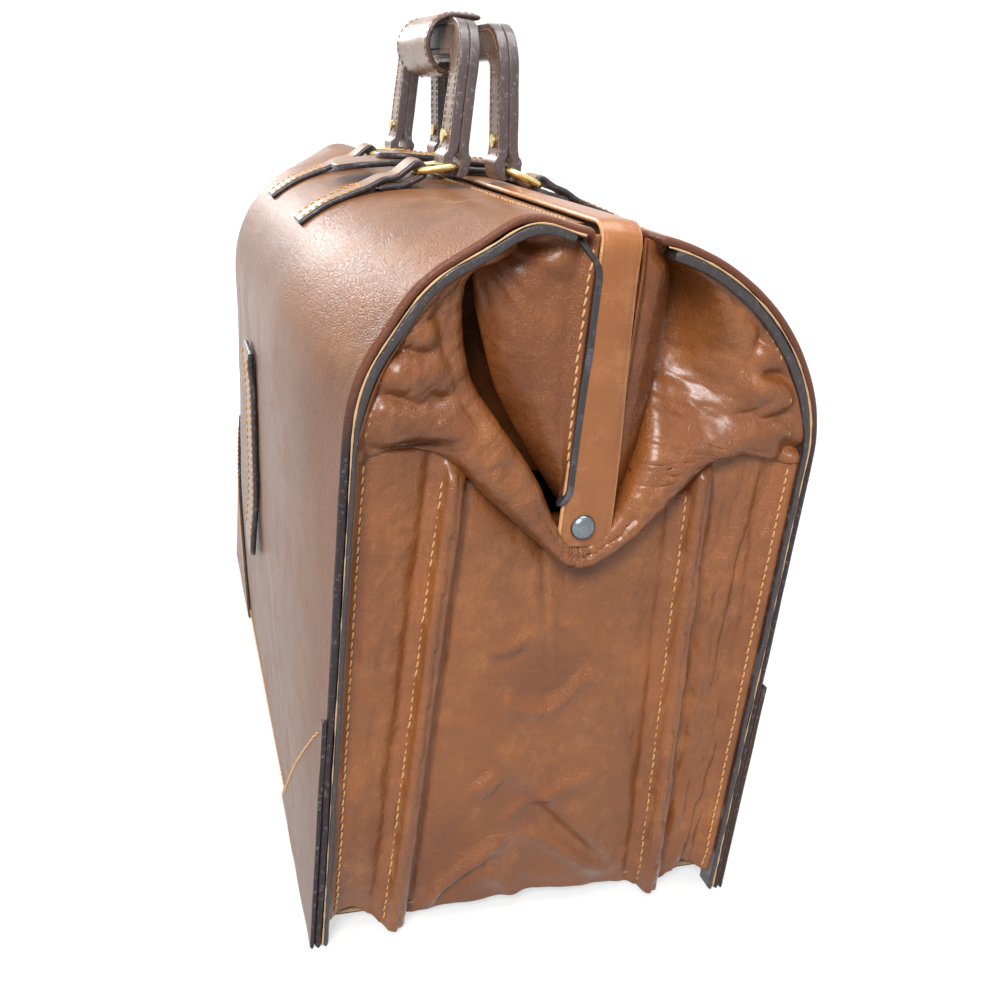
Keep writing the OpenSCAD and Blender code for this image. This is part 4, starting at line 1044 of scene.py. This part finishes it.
def make_triangle(e, sy, step, seed):
    """Upper ply from the frame's leg back into the cavity: ruled between the leg line and the deep line,
    then folded back behind itself and across the bottom of the cavity."""
    tag = end_name(e) + "_" + side_name(sy)
    long, wide, under = 115, 38, 30
    t = np.linspace(0, 1, int(long / step))
    v = np.concatenate([np.linspace(0, 1, int(wide / step)), np.linspace(1, 2, int(under / step))[1:]])
    T, V = np.meshgrid(t, v, indexing="ij")
    leg, line = TRI_LEG, TRI_DEEP[sy]
    i = T * (len(leg) - 1)
    A = np.stack([np.interp(i, np.arange(len(leg)), leg[:, k]) for k in (0, 1)], -1)
    D = np.stack([np.interp(i, np.arange(len(line)), line[:, k]) for k in (0, 1)], -1)
    a = np.minimum(V, 1)
    Q = A + (D - A) * a[..., None]
    over = np.clip(V - 1, 0, 1)
    drop = 15.0 if sy < 0 else 11.0
    x = 210.4 - 3.6 * smooth(a / 0.2) - drop * a ** 1.7 * smooth(T / 0.1 + 0.3)
    x = x + 3.0 * np.sin(math.pi * a) * smooth(T / 0.2 + 0.1) * (1 - 0.6 * T)
    soft = smooth(a / 0.3)
    wrinkle = 0.5 * fbm(Q[..., 0] / 10, Q[..., 1] / 18, 1.0, seed)
    wrinkle = wrinkle + 0.16 * fbm(Q[..., 0] / 3, Q[..., 1] / 4, 1.0, seed + 4)
    x = x + wrinkle * soft
    puff = 4.5 * gauss(Q[..., 0] + 24, 8) * gauss(Q[..., 1] - 309, 8)
    fan = np.arctan2(Q[..., 1] - 316, Q[..., 0] + 58)
    bunch = 1.3 * fbm(fan * 9, 0.4, 0, seed + 6) * gauss(np.hypot(Q[..., 0] + 46, Q[..., 1] - 304), 20)
    x = x + (puff + bunch) * soft
    x = x - 46.0 * over ** 1.15
    Q[..., 0] += 12.0 * smooth(over / 0.55) - 34.0 * smooth((over - 0.6) / 0.4)
    Q[..., 1] -= 12.0 * smooth(over / 0.9) * (1 - smooth(T / 0.5))
    P = np.stack([e * x, (-1 if sy > 0 else 1) * Q[..., 0], Q[..., 1]], -1)
    # The folded ply takes the darker copy of the gusset leather: painted shade
    o = sheet_mesh("gusset_fold_" + tag, len(t), len(v), P.reshape(-1, 3), [M_FOLD_SHADED],
                   e * sy > 0)
    if sy < 0:
        row = P[5:-4, max(2, int(0.07 * wide / step))] + np.array([e * 0.2, 0, 0])
        row = (row, np.tile([e * 1.0, 0, 0], (len(row), 1)))
        thread = stitches("stitch_fold_" + tag, [row], [M_OCHRE], "gusset_leather", pitch=4.3, length=3.5,
                          r=0.5)
        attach(thread, "front_frame")
    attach(o, side_name(sy) + "_frame")


# The right end is the one in the photograph, so its surfaces have the finer steps
for e, step in ((1, 1.15), (-1, 2.6)):
    end = end_name(e)
    for sy in (-1, 1):
        o = make_low(e, sy, step, LOW_SEED[e])
        if sy < 0:
            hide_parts(end + "_gusset", end + "_gusset_welts", end + "_gusset_ply")
        make_upper(e, sy, step, 130 + sy + 7 * e)
        make_triangle(e, sy, step, 160 + sy + 7 * e)


# Pieces on the panels, handles and straps

def surface(side, x, s, off):
    """Points (x, y, z) and normals on the swollen shell at length s, lifted by off along the normal."""
    s = np.asarray(s, float)
    p, n = side.outer.at(s)
    q = p + n * (belly(x, s, side.sign < 0) + off)[..., None]
    P = np.stack([np.broadcast_to(x, s.shape), side.sign * q[..., 0], q[..., 1]], -1)
    return P, np.stack([0 * s, side.sign * n[..., 0], n[..., 1]], -1)


def on_arch(side, x, u, off):
    """(y, z) of the point at x that lies u from the parting and off above the arch's leather."""
    P, _ = surface(side, np.array([x]), np.array([side.outer.s_at_u(u)]), np.array([off]))
    return P[0, 1], P[0, 2]


def outer_face(f, S, C, lift, face):
    """Points and normals of a row of thread on one face of the sheet f: its middle surface at S and C,
    raised by lift on the side that face(P, N) gives as 1 or -1."""
    P, N = f(S, C)
    out = face(P, N)
    return P + N * out * lift, N * out


def upward(P, N):
    return np.sign(N[:, 2:3])


# Length of the patches' foot, and the height at which their slanting side would meet the corner
PATCH_L, PATCH_TIP = 112.0, 119.5


def patch_width(s):
    """Width of a corner patch at the height s: 113 mm at the floor, and straight to 1 mm at its tip."""
    return PATCH_L * (1 - s / PATCH_TIP) + 1.0


def make_patches(side):
    """Triangles on the panel's lower corners; C runs from the slanting side, at 0, to the corner."""
    for e in (1, -1):
        def f(S, C, e=e):
            x = e * (HALF_L - patch_width(S) * (1 - C / PATCH_L))
            return surface(side, x, S, 1.05 + 0.12 * fbm(x / 20, S / 20, 0, 5))
        o = slab(f"{side.name}_patch_{end_name(e)}", f, length_steps(118, 3.0), length_steps(PATCH_L, 3.5),
                 1.9, [M_PATCH], 2.5)
        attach(o, "body")
        if e > 0:
            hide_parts(side.name + "_corner_patches")
        s = np.linspace(5, 110, 120)
        x = e * (HALF_L - patch_width(s) + 4.2)
        row = surface(side, x, s, 2.05 + 0 * s)
        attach(stitches(f"stitch_{o.name}", [row], [M_OCHRE], "patch_leather", pitch=3.6, length=2.9),
                "body")


def make_keeper():
    """Dark-edged keeper tab down the middle of the front panel, its lower tip rounded and standing off a
    little."""
    side = SIDES[0]
    low, long = 98, 124

    def f(S, C):
        tip = np.clip((S - low) / 14, 0, 1)
        k = np.sqrt(1 - (1 - tip) ** 2) * 0.94 + 0.06
        return surface(side, C * k, S, 1.9 + 2.6 * gauss(S - 104, 22) + 0.8 * gauss(S - 214, 6))
    o = slab("keeper_tab", f, low + length_steps(long, 2.5), across_steps(17, 3, 4, 1.2), 3.3, [M_STRAP],
             2.0)
    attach(o, "body")
    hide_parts("front_keeper_tab")
    s = np.linspace(112, 219, 90)
    off = 3.6 + 2.6 * gauss(s - 104, 22) + 0.8 * gauss(s - 214, 6)
    rows = [surface(side, k * 13.6 + 0 * s, s, off) for k in (-1, 1)]
    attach(stitches("stitch_keeper", rows, [M_OCHRE], "strap_leather"), "body")


def strap_piece(name, path, xs, t, mats, edge_w=2.2, wavy=0.0, widen=None, seed=1):
    """A strap whose middle line lies in a plane of constant x: path holds (y, z), xs its stations across,
    and widen scales the width along the length. Gives the mesh, the middle line and the middle surface's
    function."""
    c = Curve(smooth_line(path, 24))

    def f(S, C):
        p, n = c.at(S)
        k = 1.0 if widen is None else widen(S, c.length)
        mid = 0.5 * (xs[0] + xs[-1])
        x = mid + (C - mid) * k
        w = wavy * fbm(S / 13, C / 15, 0, seed)
        P = np.stack([x, p[..., 0] + n[..., 0] * w, p[..., 1] + n[..., 1] * w], -1)
        return P, np.stack([0 * S, n[..., 0], n[..., 1]], -1)
    return slab(name, f, length_steps(c.length, 1.1), xs, t, mats, edge_w), c, f


def make_tabs(side, loop, u0):
    """Handle tabs: stitched flat to the arch, lifting over the ring's bar and returning under themselves.
    u0 is where a tab starts, as its distance from the parting; loop is the bar's (y, z)."""
    front = side.sign < 0
    for e in (1, -1):
        x = e * HANDLE_X

        def at(u, off):
            return on_arch(side, x, u, off)
        y, z, g = loop[0], loop[1], side.sign
        r = 3.5
        if front:
            tail = [at(u0, 1.8), at(u0 - 8, 1.8), at(u0 - 15, 2.0)]
        else:
            tail = [at(u0, 1.8), at(u0 - 10, 1.8), at(u0 - 20, 1.9), at(u0 - 28, 2.0)]
        knee = abs(y) + 19
        lift = [at(knee, 3.2), at(knee - 7, 5.4), at(knee - 13, 6.2)]
        turn = [(y + g * r * math.sin(math.radians(a)), z + r * math.cos(math.radians(a)))
                for a in (18, -28, -72, -116, -160)]
        back = [at(abs(y) + 5, 1.9), at(abs(y) + 11, 1.75), at(abs(y) + 15, 1.75)]
        xs = np.array([-10, -8.8, -7.6, -5, -2.5, 0, 2.5, 5, 7.6, 8.8, 10.0]) + x
        o, _, f = strap_piece(f"{side.name}_tab_{end_name(e)}", tail + lift + turn + back, xs, 3.0,
                              [M_STRAP], 1.9, 0.12)
        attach(o, side.body)
        if e > 0:
            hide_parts(side.name + "_handle_tabs")
        reach = 34.0 if front else 42.0
        S = np.linspace(2.5, reach, 80)
        rows = [outer_face(f, S, np.full(80, x + k), 1.5, upward) for k in (-7.0, 7.0)]
        k = np.linspace(-7.0, 7.0, 20)
        rows.append(outer_face(f, np.full(20, reach), x + k, 1.5, upward))
        s = stitches(f"stitch_{o.name}", rows, [M_OCHRE], "strap_leather", pitch=3.4, length=2.7, r=0.38)
        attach(s, side.body)


def ring_path(loop, eye, x0, corner=6.5):
    """Rounded rectangle 27 mm wide between the tab's bar and the handle's bar, along the middle of its
    wire."""
    a, b = np.array(loop), np.array(eye)
    length = np.linalg.norm(b - a)
    d = (b - a) / length
    right, top = 13.5 - 1.75 - corner, length - corner
    pts = []
    for cx, cs, a0 in ((right, top, 0), (-right, top, 90), (-right, corner, 180), (right, corner, 270)):
        for k in np.linspace(0, 90, 8):
            t = math.radians(a0 + k)
            pts.append((cx + corner * math.cos(t), cs + corner * math.sin(t)))
    pts = np.array(pts)
    return np.stack([x0 + pts[:, 0], a[0] + d[0] * pts[:, 1], a[1] + d[1] * pts[:, 1]], 1)


def make_rings(name, loop, eye):
    """Two brass wire rings, one at each leg of the handle."""
    for e in (1, -1):
        p = ring_path(loop, eye, e * HANDLE_X)
        o = tube(f"{name}_ring_{end_name(e)}", p, 1.72, [M_BRASS], 16, closed=True)
        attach(o, name + "_rings")
        if e > 0:
            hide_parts(name + "_rings")


# Height of the handles' grip over the rings' bar, half the width of their leather, and the bend of their
# corners
GRIP_TOP, GRIP_HALF, GRIP_BEND = 66.0, 8.0, 13.0


def handle_line():
    """Middle line of the handle in its own plane: up one leg, round two corners, down the other. Heights
    from the eye."""
    top, r = GRIP_TOP - GRIP_HALF, GRIP_BEND
    pts = [(-HANDLE_X, h) for h in np.linspace(-5.4, top - r, 60)]
    pts += [(-HANDLE_X + r - r * math.cos(a), top - r + r * math.sin(a))
            for a in np.linspace(0, math.pi / 2, 18)[1:]]
    half = np.array(pts)
    mid = np.stack([np.linspace(-HANDLE_X + r, HANDLE_X - r, 60)[1:-1], np.full(58, top)], 1)
    return Curve(np.vstack([half, mid, half[::-1] * [-1, 1]]))


def make_handle(name, eye, lean, body, seed):
    """Two plies of leather, sewn together, that part into a drop-shaped eye round each ring. lean is
    the angle from the upright in degrees; C runs across a ply's width."""
    c = handle_line()
    ca, sa = math.cos(math.radians(lean)), math.sin(math.radians(lean))
    t = 4.8

    def gap(h):
        """A ply's distance from the handle's middle at the height h over the eye: wider by an ellipse round
        it."""
        eye_hole = 1.9 * np.sqrt(np.clip(1 - ((h - 0.5) / 4.9) ** 2, 0, 1))
        return 2.42 + eye_hole + 0.9 * smooth((11 - h) / 8) * smooth((h - 1) / 3)

    for k in (-1, 1):
        def f(S, C, k=k):
            p, n = c.at(S)
            legs = smooth((40 - p[..., 1]) / 16)
            w = 0.92 + 0.08 * legs + 0.05 * gauss(p[..., 1] - 2, 5)
            q = p + n * (C * w)[..., None]
            h = p[..., 1]
            off = k * (gap(h) + 0.18 * fbm(S / 17, C / 12, 0, seed + k)) + 0.35 * np.sin(S / 31)
            y = eye[0] + off * ca - q[..., 1] * sa
            z = eye[1] + q[..., 1] * ca + off * sa
            N = np.stack([0 * S, k * ca + 0 * S, k * sa + 0 * S], -1)
            return np.stack([q[..., 0], y, z], -1), N / np.linalg.norm(N, axis=-1)[..., None]
        xs = np.array([-9, -8, -6.8, -5, -3, -1, 1, 3, 5, 6.8, 8, 9.0])
        o = slab(f"{name}_ply_{'outer' if k < 0 else 'inner'}", f, length_steps(c.length, 1.6), xs, t,
                 [M_HANDLE], 1.6, corner=0.7)
        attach(o, body)
        if k < 0:
            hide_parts(name)
        rows = []
        for off in (-5.9, 5.9):
            S = np.linspace(11, c.length - 11, 300)
            P, N = f(S, np.full(300, off))
            rows.append((P + N * (t / 2 + 0.02), N))
        thread = stitches(f"stitch_{o.name}", rows, [M_BROWN], "handle_leather", pitch=3.2, length=2.4,
                          r=0.27, rise=0.1)
        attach(thread, body)


def make_wrap():
    """Leather sleeve round the front grip: flat on top, round in front and open behind and below."""
    cy, cz, r = -26.2, 384.9, 13.4
    path = [(-14.4, 398.1), (-18, 398.4), (-22, 398.5)]
    path += [(cy + r * math.cos(math.radians(a)), cz + r * math.sin(math.radians(a)))
             for a in range(90, 286, 15)]
    o, c, f = strap_piece("grip_sleeve", path, 9.0 + across_steps(33, 3.2, 4, 1.0), 2.4, [M_WRAP],
                          2.2, 0.3, seed=8)
    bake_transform(o)
    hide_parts("grip_wrap")

    def outward(P, N):
        return np.sign(((P[:, 1] - cy) * N[:, 1] + (P[:, 2] - cz) * N[:, 2]))[:, None]
    S = np.linspace(2, c.length - 2, 80)
    rows = [outer_face(f, S, np.full(80, k), 1.22, outward) for k in (-21.2, 39.2)]
    s = stitches("stitch_grip_sleeve", rows, [M_BROWN], "wrap_leather", pitch=3.2, length=2.4, r=0.27,
                 rise=0.1)
    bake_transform(s)


def tip_width(S, length):
    """Narrows the strap's last 17 mm to a round end."""
    k = np.clip((length - S) / 17.0, 0, 1)
    return 0.1 + 0.9 * np.sqrt(1 - (1 - k) ** 2)


def make_closure():
    """Closure strap: from the back arch over the parting to a free round end in front, with a shorter ply
    on it."""
    def at(u, off):
        return on_arch(SIDES[1], 0.0, u, off)
    path = [at(39, 1.9), at(33, 1.9), at(27, 2.0), at(22, 2.6), (16.0, 325.2), (10, 326.2), (-4, 326.3),
            (-22, 326.6), (-40, 326.5), (-56, 325.0), (-68, 322.6), (-76, 320.4)]
    o, _, _ = strap_piece("closure_lower", path, across_steps(19, 3, 4, 1.0), 3.4, [M_STRAP],
                          2.2, 0.25, tip_width, 4)
    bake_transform(o)
    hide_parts("closure_strap", "closure_root")
    path = [(13, 329.7), (4, 329.75), (-12, 329.9), (-28, 330.2), (-42, 329.9), (-53, 328.8)]
    o, c, f = strap_piece("closure_upper", path, across_steps(17, 3, 4, 1.0), 3.0, [M_STRAP],
                          2.2, 0.2, tip_width, 6)
    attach(o, "closure_strap")
    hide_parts("closure_ply")
    S = np.linspace(2, c.length - 12, 70)
    rows = [outer_face(f, S, np.full(70, k), 1.52, upward) for k in (-13.8, 13.8)]
    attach(stitches("stitch_closure", rows, [M_OCHRE], "strap_leather", pitch=3.4, length=2.7),
            "closure_strap")


for side, loop, u0 in ((SIDES[0], FRONT_LOOP, 88), (SIDES[1], BACK_LOOP, 72)):
    make_patches(side)
    make_tabs(side, loop, u0)
make_keeper()
make_rings("front", FRONT_LOOP, FRONT_EYE)
make_rings("back", BACK_LOOP, BACK_EYE)
make_handle("front_handle", FRONT_EYE, -3.0, "front_handle", 3)
make_handle("back_handle", BACK_EYE, 5.0, "back_handle", 8)
make_wrap()
make_closure()


# Leathers on the frame, rivets and CAD pieces that stay

def make_top_strip():
    """Smooth tan strip over the parting, bent down over both ends as tongues that widen to the rivets."""
    r, out, low_end, top = 9.0, 209.4, 190.8, 321.8
    half = [(out, z) for z in np.linspace(low_end, top - r, 40)]
    half += [(out - r + r * math.cos(a), top - r + r * math.sin(a))
             for a in np.linspace(0, math.pi / 2, 12)[1:]]
    half = np.array(half)
    mid = np.stack([np.linspace(200.4, -200.4, 90)[1:-1], np.full(88, top)], 1)
    c = Curve(np.vstack([half, mid, half[::-1] * [-1, 1]]))

    def f(S, C):
        p, n = c.at(S)
        end = np.minimum(S, c.length - S)
        low = smooth((120 - end) / 110)
        w = 0.86 + 0.33 * low
        w = w * (0.62 + 0.38 * np.clip(end / 4.5, 0, 1) ** 0.6)
        dome = (0.5 * (1 - (C / 10.0) ** 2) + 0.12 * fbm(S / 30, C / 8, 0, 4)
                - 0.3 * gauss(np.abs(C) - 8.4, 0.45))
        P = np.stack([p[..., 0] + n[..., 0] * dome, C * w + 1.6 * low, p[..., 1] + n[..., 1] * dome], -1)
        return P, np.stack([n[..., 0], 0 * S, n[..., 1]], -1)
    o = slab("top_strip_leather", f, length_steps(c.length, 2.4), across_steps(10, 1.1, 3, 0.5), 2.3,
             [M_TONGUE], 1.0)
    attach(o, "front_frame")
    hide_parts("top_strip")


def make_leg_strips(side):
    """Dark painted edge of the leather beside the tongue: the whole leg in front, its foot behind."""
    front = side.sign < 0
    for e in (1, -1):
        def f(S, C, e=e):
            z = (209 if front else 203) + S
            top = smooth((S - 90) / 18) ** 2
            foot = 3.0 * smooth((9 - S) / 9) ** 2 if front else 4.0 - 0.12 * S
            y = side.sign * (C + 0.25 * noise(S / 22, 0.0, 0, 6) + 9.0 * top * front + foot)
            x = 209.3 - 1.0 * top - (0 if front else 1.2)
            return np.stack([e * x, y, z], -1), np.stack([e + 0 * S, 0 * S, 0 * S], -1)
        s = length_steps(107 if front else 22, 1.8)
        o = slab(f"{side.name}_leg_strip_{end_name(e)}", f, s, np.linspace(6.5, 9.5, 5), 4.8, [M_EDGE],
                 1.2, corner=0.9)
        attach(o, side.name + "_frame")
        if e > 0:
            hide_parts(side.name + "_leg_strips")


def make_rivets():
    """Domed rivets: a rim 0.35 mm high and a dome 2.9 mm high on a radius of 5.5 mm."""
    r, rim, high = 5.5, 0.35, 2.9
    dome = [(r - 0.3, 0.0), (r, rim)]
    dome += [(r * math.cos(a) ** 0.9, rim + high * math.sin(a)) for a in np.linspace(0.1, 1.52, 16)]
    for e in (1, -1):
        o = lathe(f"rivet_{end_name(e)}", dome, (e * 210.6, 0, PIVOT_Z), e, [M_GUN])
        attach(o, "pivots")
        if e > 0:
            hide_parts("pivot_rivets")


def edge_stitches(side):
    """Rows along the whole length: near the floor edge, and beside the parting."""
    x = np.linspace(-208, 208, 500)
    low = surface(side, x, 4.6 + 0 * x, 0.12 + 0 * x)
    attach(stitches(f"stitch_{side.name}_foot", [low], [M_OCHRE], "panel_leather", pitch=4.4), "body")
    x = np.linspace(-192, 192, 460)
    high = surface(side, x, side.outer.s_at_u(17.0) + 0 * x, 0.12 + 0 * x)
    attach(stitches(f"stitch_{side.name}_top", [high], [M_OCHRE], "panel_leather", pitch=4.4), side.body)


def cad_finish():
    """CAD pieces that stay: a small bevel, in metres, and their material."""
    plan = {"base_board": (M_BOARD, 0.0004), "base_leather": (M_BASE_CAD, 0.0008),
            "base_lining": (M_LINING_CAD, 0.0004),
            "front_frame": (M_STEEL, 0.0003), "back_frame": (M_STEEL, 0.0003),
            "front_frame_cover": (M_COVER_CAD, 0.0006),
            "back_frame_cover": (M_COVER_CAD, 0.0006), "pivot_washers": (M_STEEL, 0.0002),
            "front_handle_rivets": (M_BRASS, 0.0004), "back_handle_rivets": (M_BRASS, 0.0004)}
    for key, (mat, width) in plan.items():
        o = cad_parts[key]
        o.data.materials.clear()
        o.data.materials.append(mat)
        b = o.modifiers.new("bevel", "BEVEL")
        b.width, b.segments, b.limit_method = width, 2, "ANGLE"


make_top_strip()
for side in SIDES:
    make_leg_strips(side)
    edge_stitches(side)
make_rivets()
cad_finish()


# Floor, light and camera

def background_rays(tree):
    """1 for the rays that show the background: from the camera, off metal and gloss, and through glass."""
    path = tree.nodes.new("ShaderNodeLightPath")
    seen = math_node(tree, "MAXIMUM", path.outputs["Is Camera Ray"], path.outputs["Is Glossy Ray"])
    return math_node(tree, "MAXIMUM", seen, path.outputs["Is Transmission Ray"])


# The lamps: name, place in metres, sides of the area and power in watts; they look at AIM
LAMPS = (("key", (1.3, -0.8, 1.35), (0.65, 0.65), 38), ("far", (-1.75, -0.75, 0.9), (0.8, 0.45), 19),
         ("top", (0.1, 0.2, 1.9), (1.1, 1.1), 30))
AIM = (0.1, 0, 0.18)
# The floor's grey and roughness for light; what the camera sees of it grows from NEAR_GLOW by FAR_GLOW
# outwards
FLOOR_GREY, FLOOR_ROUGH = 0.34, 0.9
NEAR_GLOW, FAR_GLOW = 0.62, 0.35
# Strength of the white world as light, and what the camera sees beyond it
WORLD_LIGHT, WORLD_SEEN = 0.28, 0.76


def floor_and_light():
    """A pale floor that glows only for the camera, a white world and three area lamps."""
    bpy.ops.mesh.primitive_plane_add(size=60, location=(0, 0, 0))
    floor = bpy.context.object
    floor.name = "floor"
    m = bpy.data.materials.new("floor")
    m.use_nodes = True
    b = m.node_tree.nodes["Principled BSDF"]
    b.inputs["Base Color"].default_value = (FLOOR_GREY, FLOOR_GREY, FLOOR_GREY, 1)
    b.inputs["Roughness"].default_value = FLOOR_ROUGH
    b.inputs["Specular IOR Level"].default_value = 0.1
    t = m.node_tree
    away = t.nodes.new("ShaderNodeVectorMath")
    away.operation = "LENGTH"
    t.links.new(t.nodes.new("ShaderNodeTexCoord").outputs["Object"], away.inputs[0])
    b.inputs["Emission Color"].default_value = (1, 1, 1, 1)
    glow = ramp(t, math_node(t, "MULTIPLY", away.outputs["Value"], 0.25), [(0.1, 0.0), (0.5, 1.0)])
    seen = background_rays(t)
    glow = math_node(t, "ADD", math_node(t, "MULTIPLY", glow, FAR_GLOW), NEAR_GLOW)
    t.links.new(math_node(t, "MULTIPLY", glow, seen), b.inputs["Emission Strength"])
    floor.data.materials.append(m)
    world = bpy.data.worlds.new("studio")
    world.use_nodes = True
    t = world.node_tree
    back = t.nodes["Background"]
    back.inputs[0].default_value = (1, 1, 1, 1)
    seen = math_node(t, "MULTIPLY", background_rays(t), WORLD_SEEN)
    t.links.new(math_node(t, "ADD", seen, WORLD_LIGHT), back.inputs[1])
    bpy.context.scene.world = world
    for name, at, size, power in LAMPS:
        light = bpy.data.lights.new(name, "AREA")
        light.shape = "RECTANGLE"
        light.size, light.size_y, light.energy = size[0], size[1], power
        o = bpy.data.objects.new(name, light)
        o.location = at
        o.rotation_euler = (Vector(AIM) - Vector(at)).to_track_quat("-Z", "Y").to_euler()
        o.visible_camera = False
        bpy.context.scene.collection.objects.link(o)


# The photograph's camera as it was solved: yaw, pitch and roll in degrees, focal length as a share of the
# picture's width, and place in metres
CAMERA_TURN = (160.05, -20.4, 6.47)
CAMERA_FOCAL = 1028 / 1000
CAMERA_AT = (0.5713, -0.1684, 0.3552)
SENSOR = 36.0


def photo_camera():
    """The photograph's camera: it looks along the yaw and pitch, and its right and up are turned by the
    roll."""
    yaw, pitch, roll = (math.radians(v) for v in CAMERA_TURN)
    d = Vector((math.cos(pitch) * math.cos(yaw), math.cos(pitch) * math.sin(yaw), math.sin(pitch)))
    r = d.cross(Vector((0, 0, 1))).normalized()
    u = r.cross(d)
    right = math.cos(roll) * r + math.sin(roll) * u
    up = -math.sin(roll) * r + math.cos(roll) * u
    cam = bpy.data.cameras.new("photo_camera")
    cam.sensor_width, cam.lens = SENSOR, SENSOR * CAMERA_FOCAL
    cam.clip_start = 0.01
    o = bpy.data.objects.new("photo_camera", cam)
    m = Matrix((right, up, -d)).transposed().to_4x4()
    m.translation = Vector(CAMERA_AT)
    o.matrix_world = m
    bpy.context.scene.collection.objects.link(o)
    bpy.context.scene.camera = o


floor_and_light()
photo_camera()
bpy.context.scene.view_settings.view_transform = "Standard"
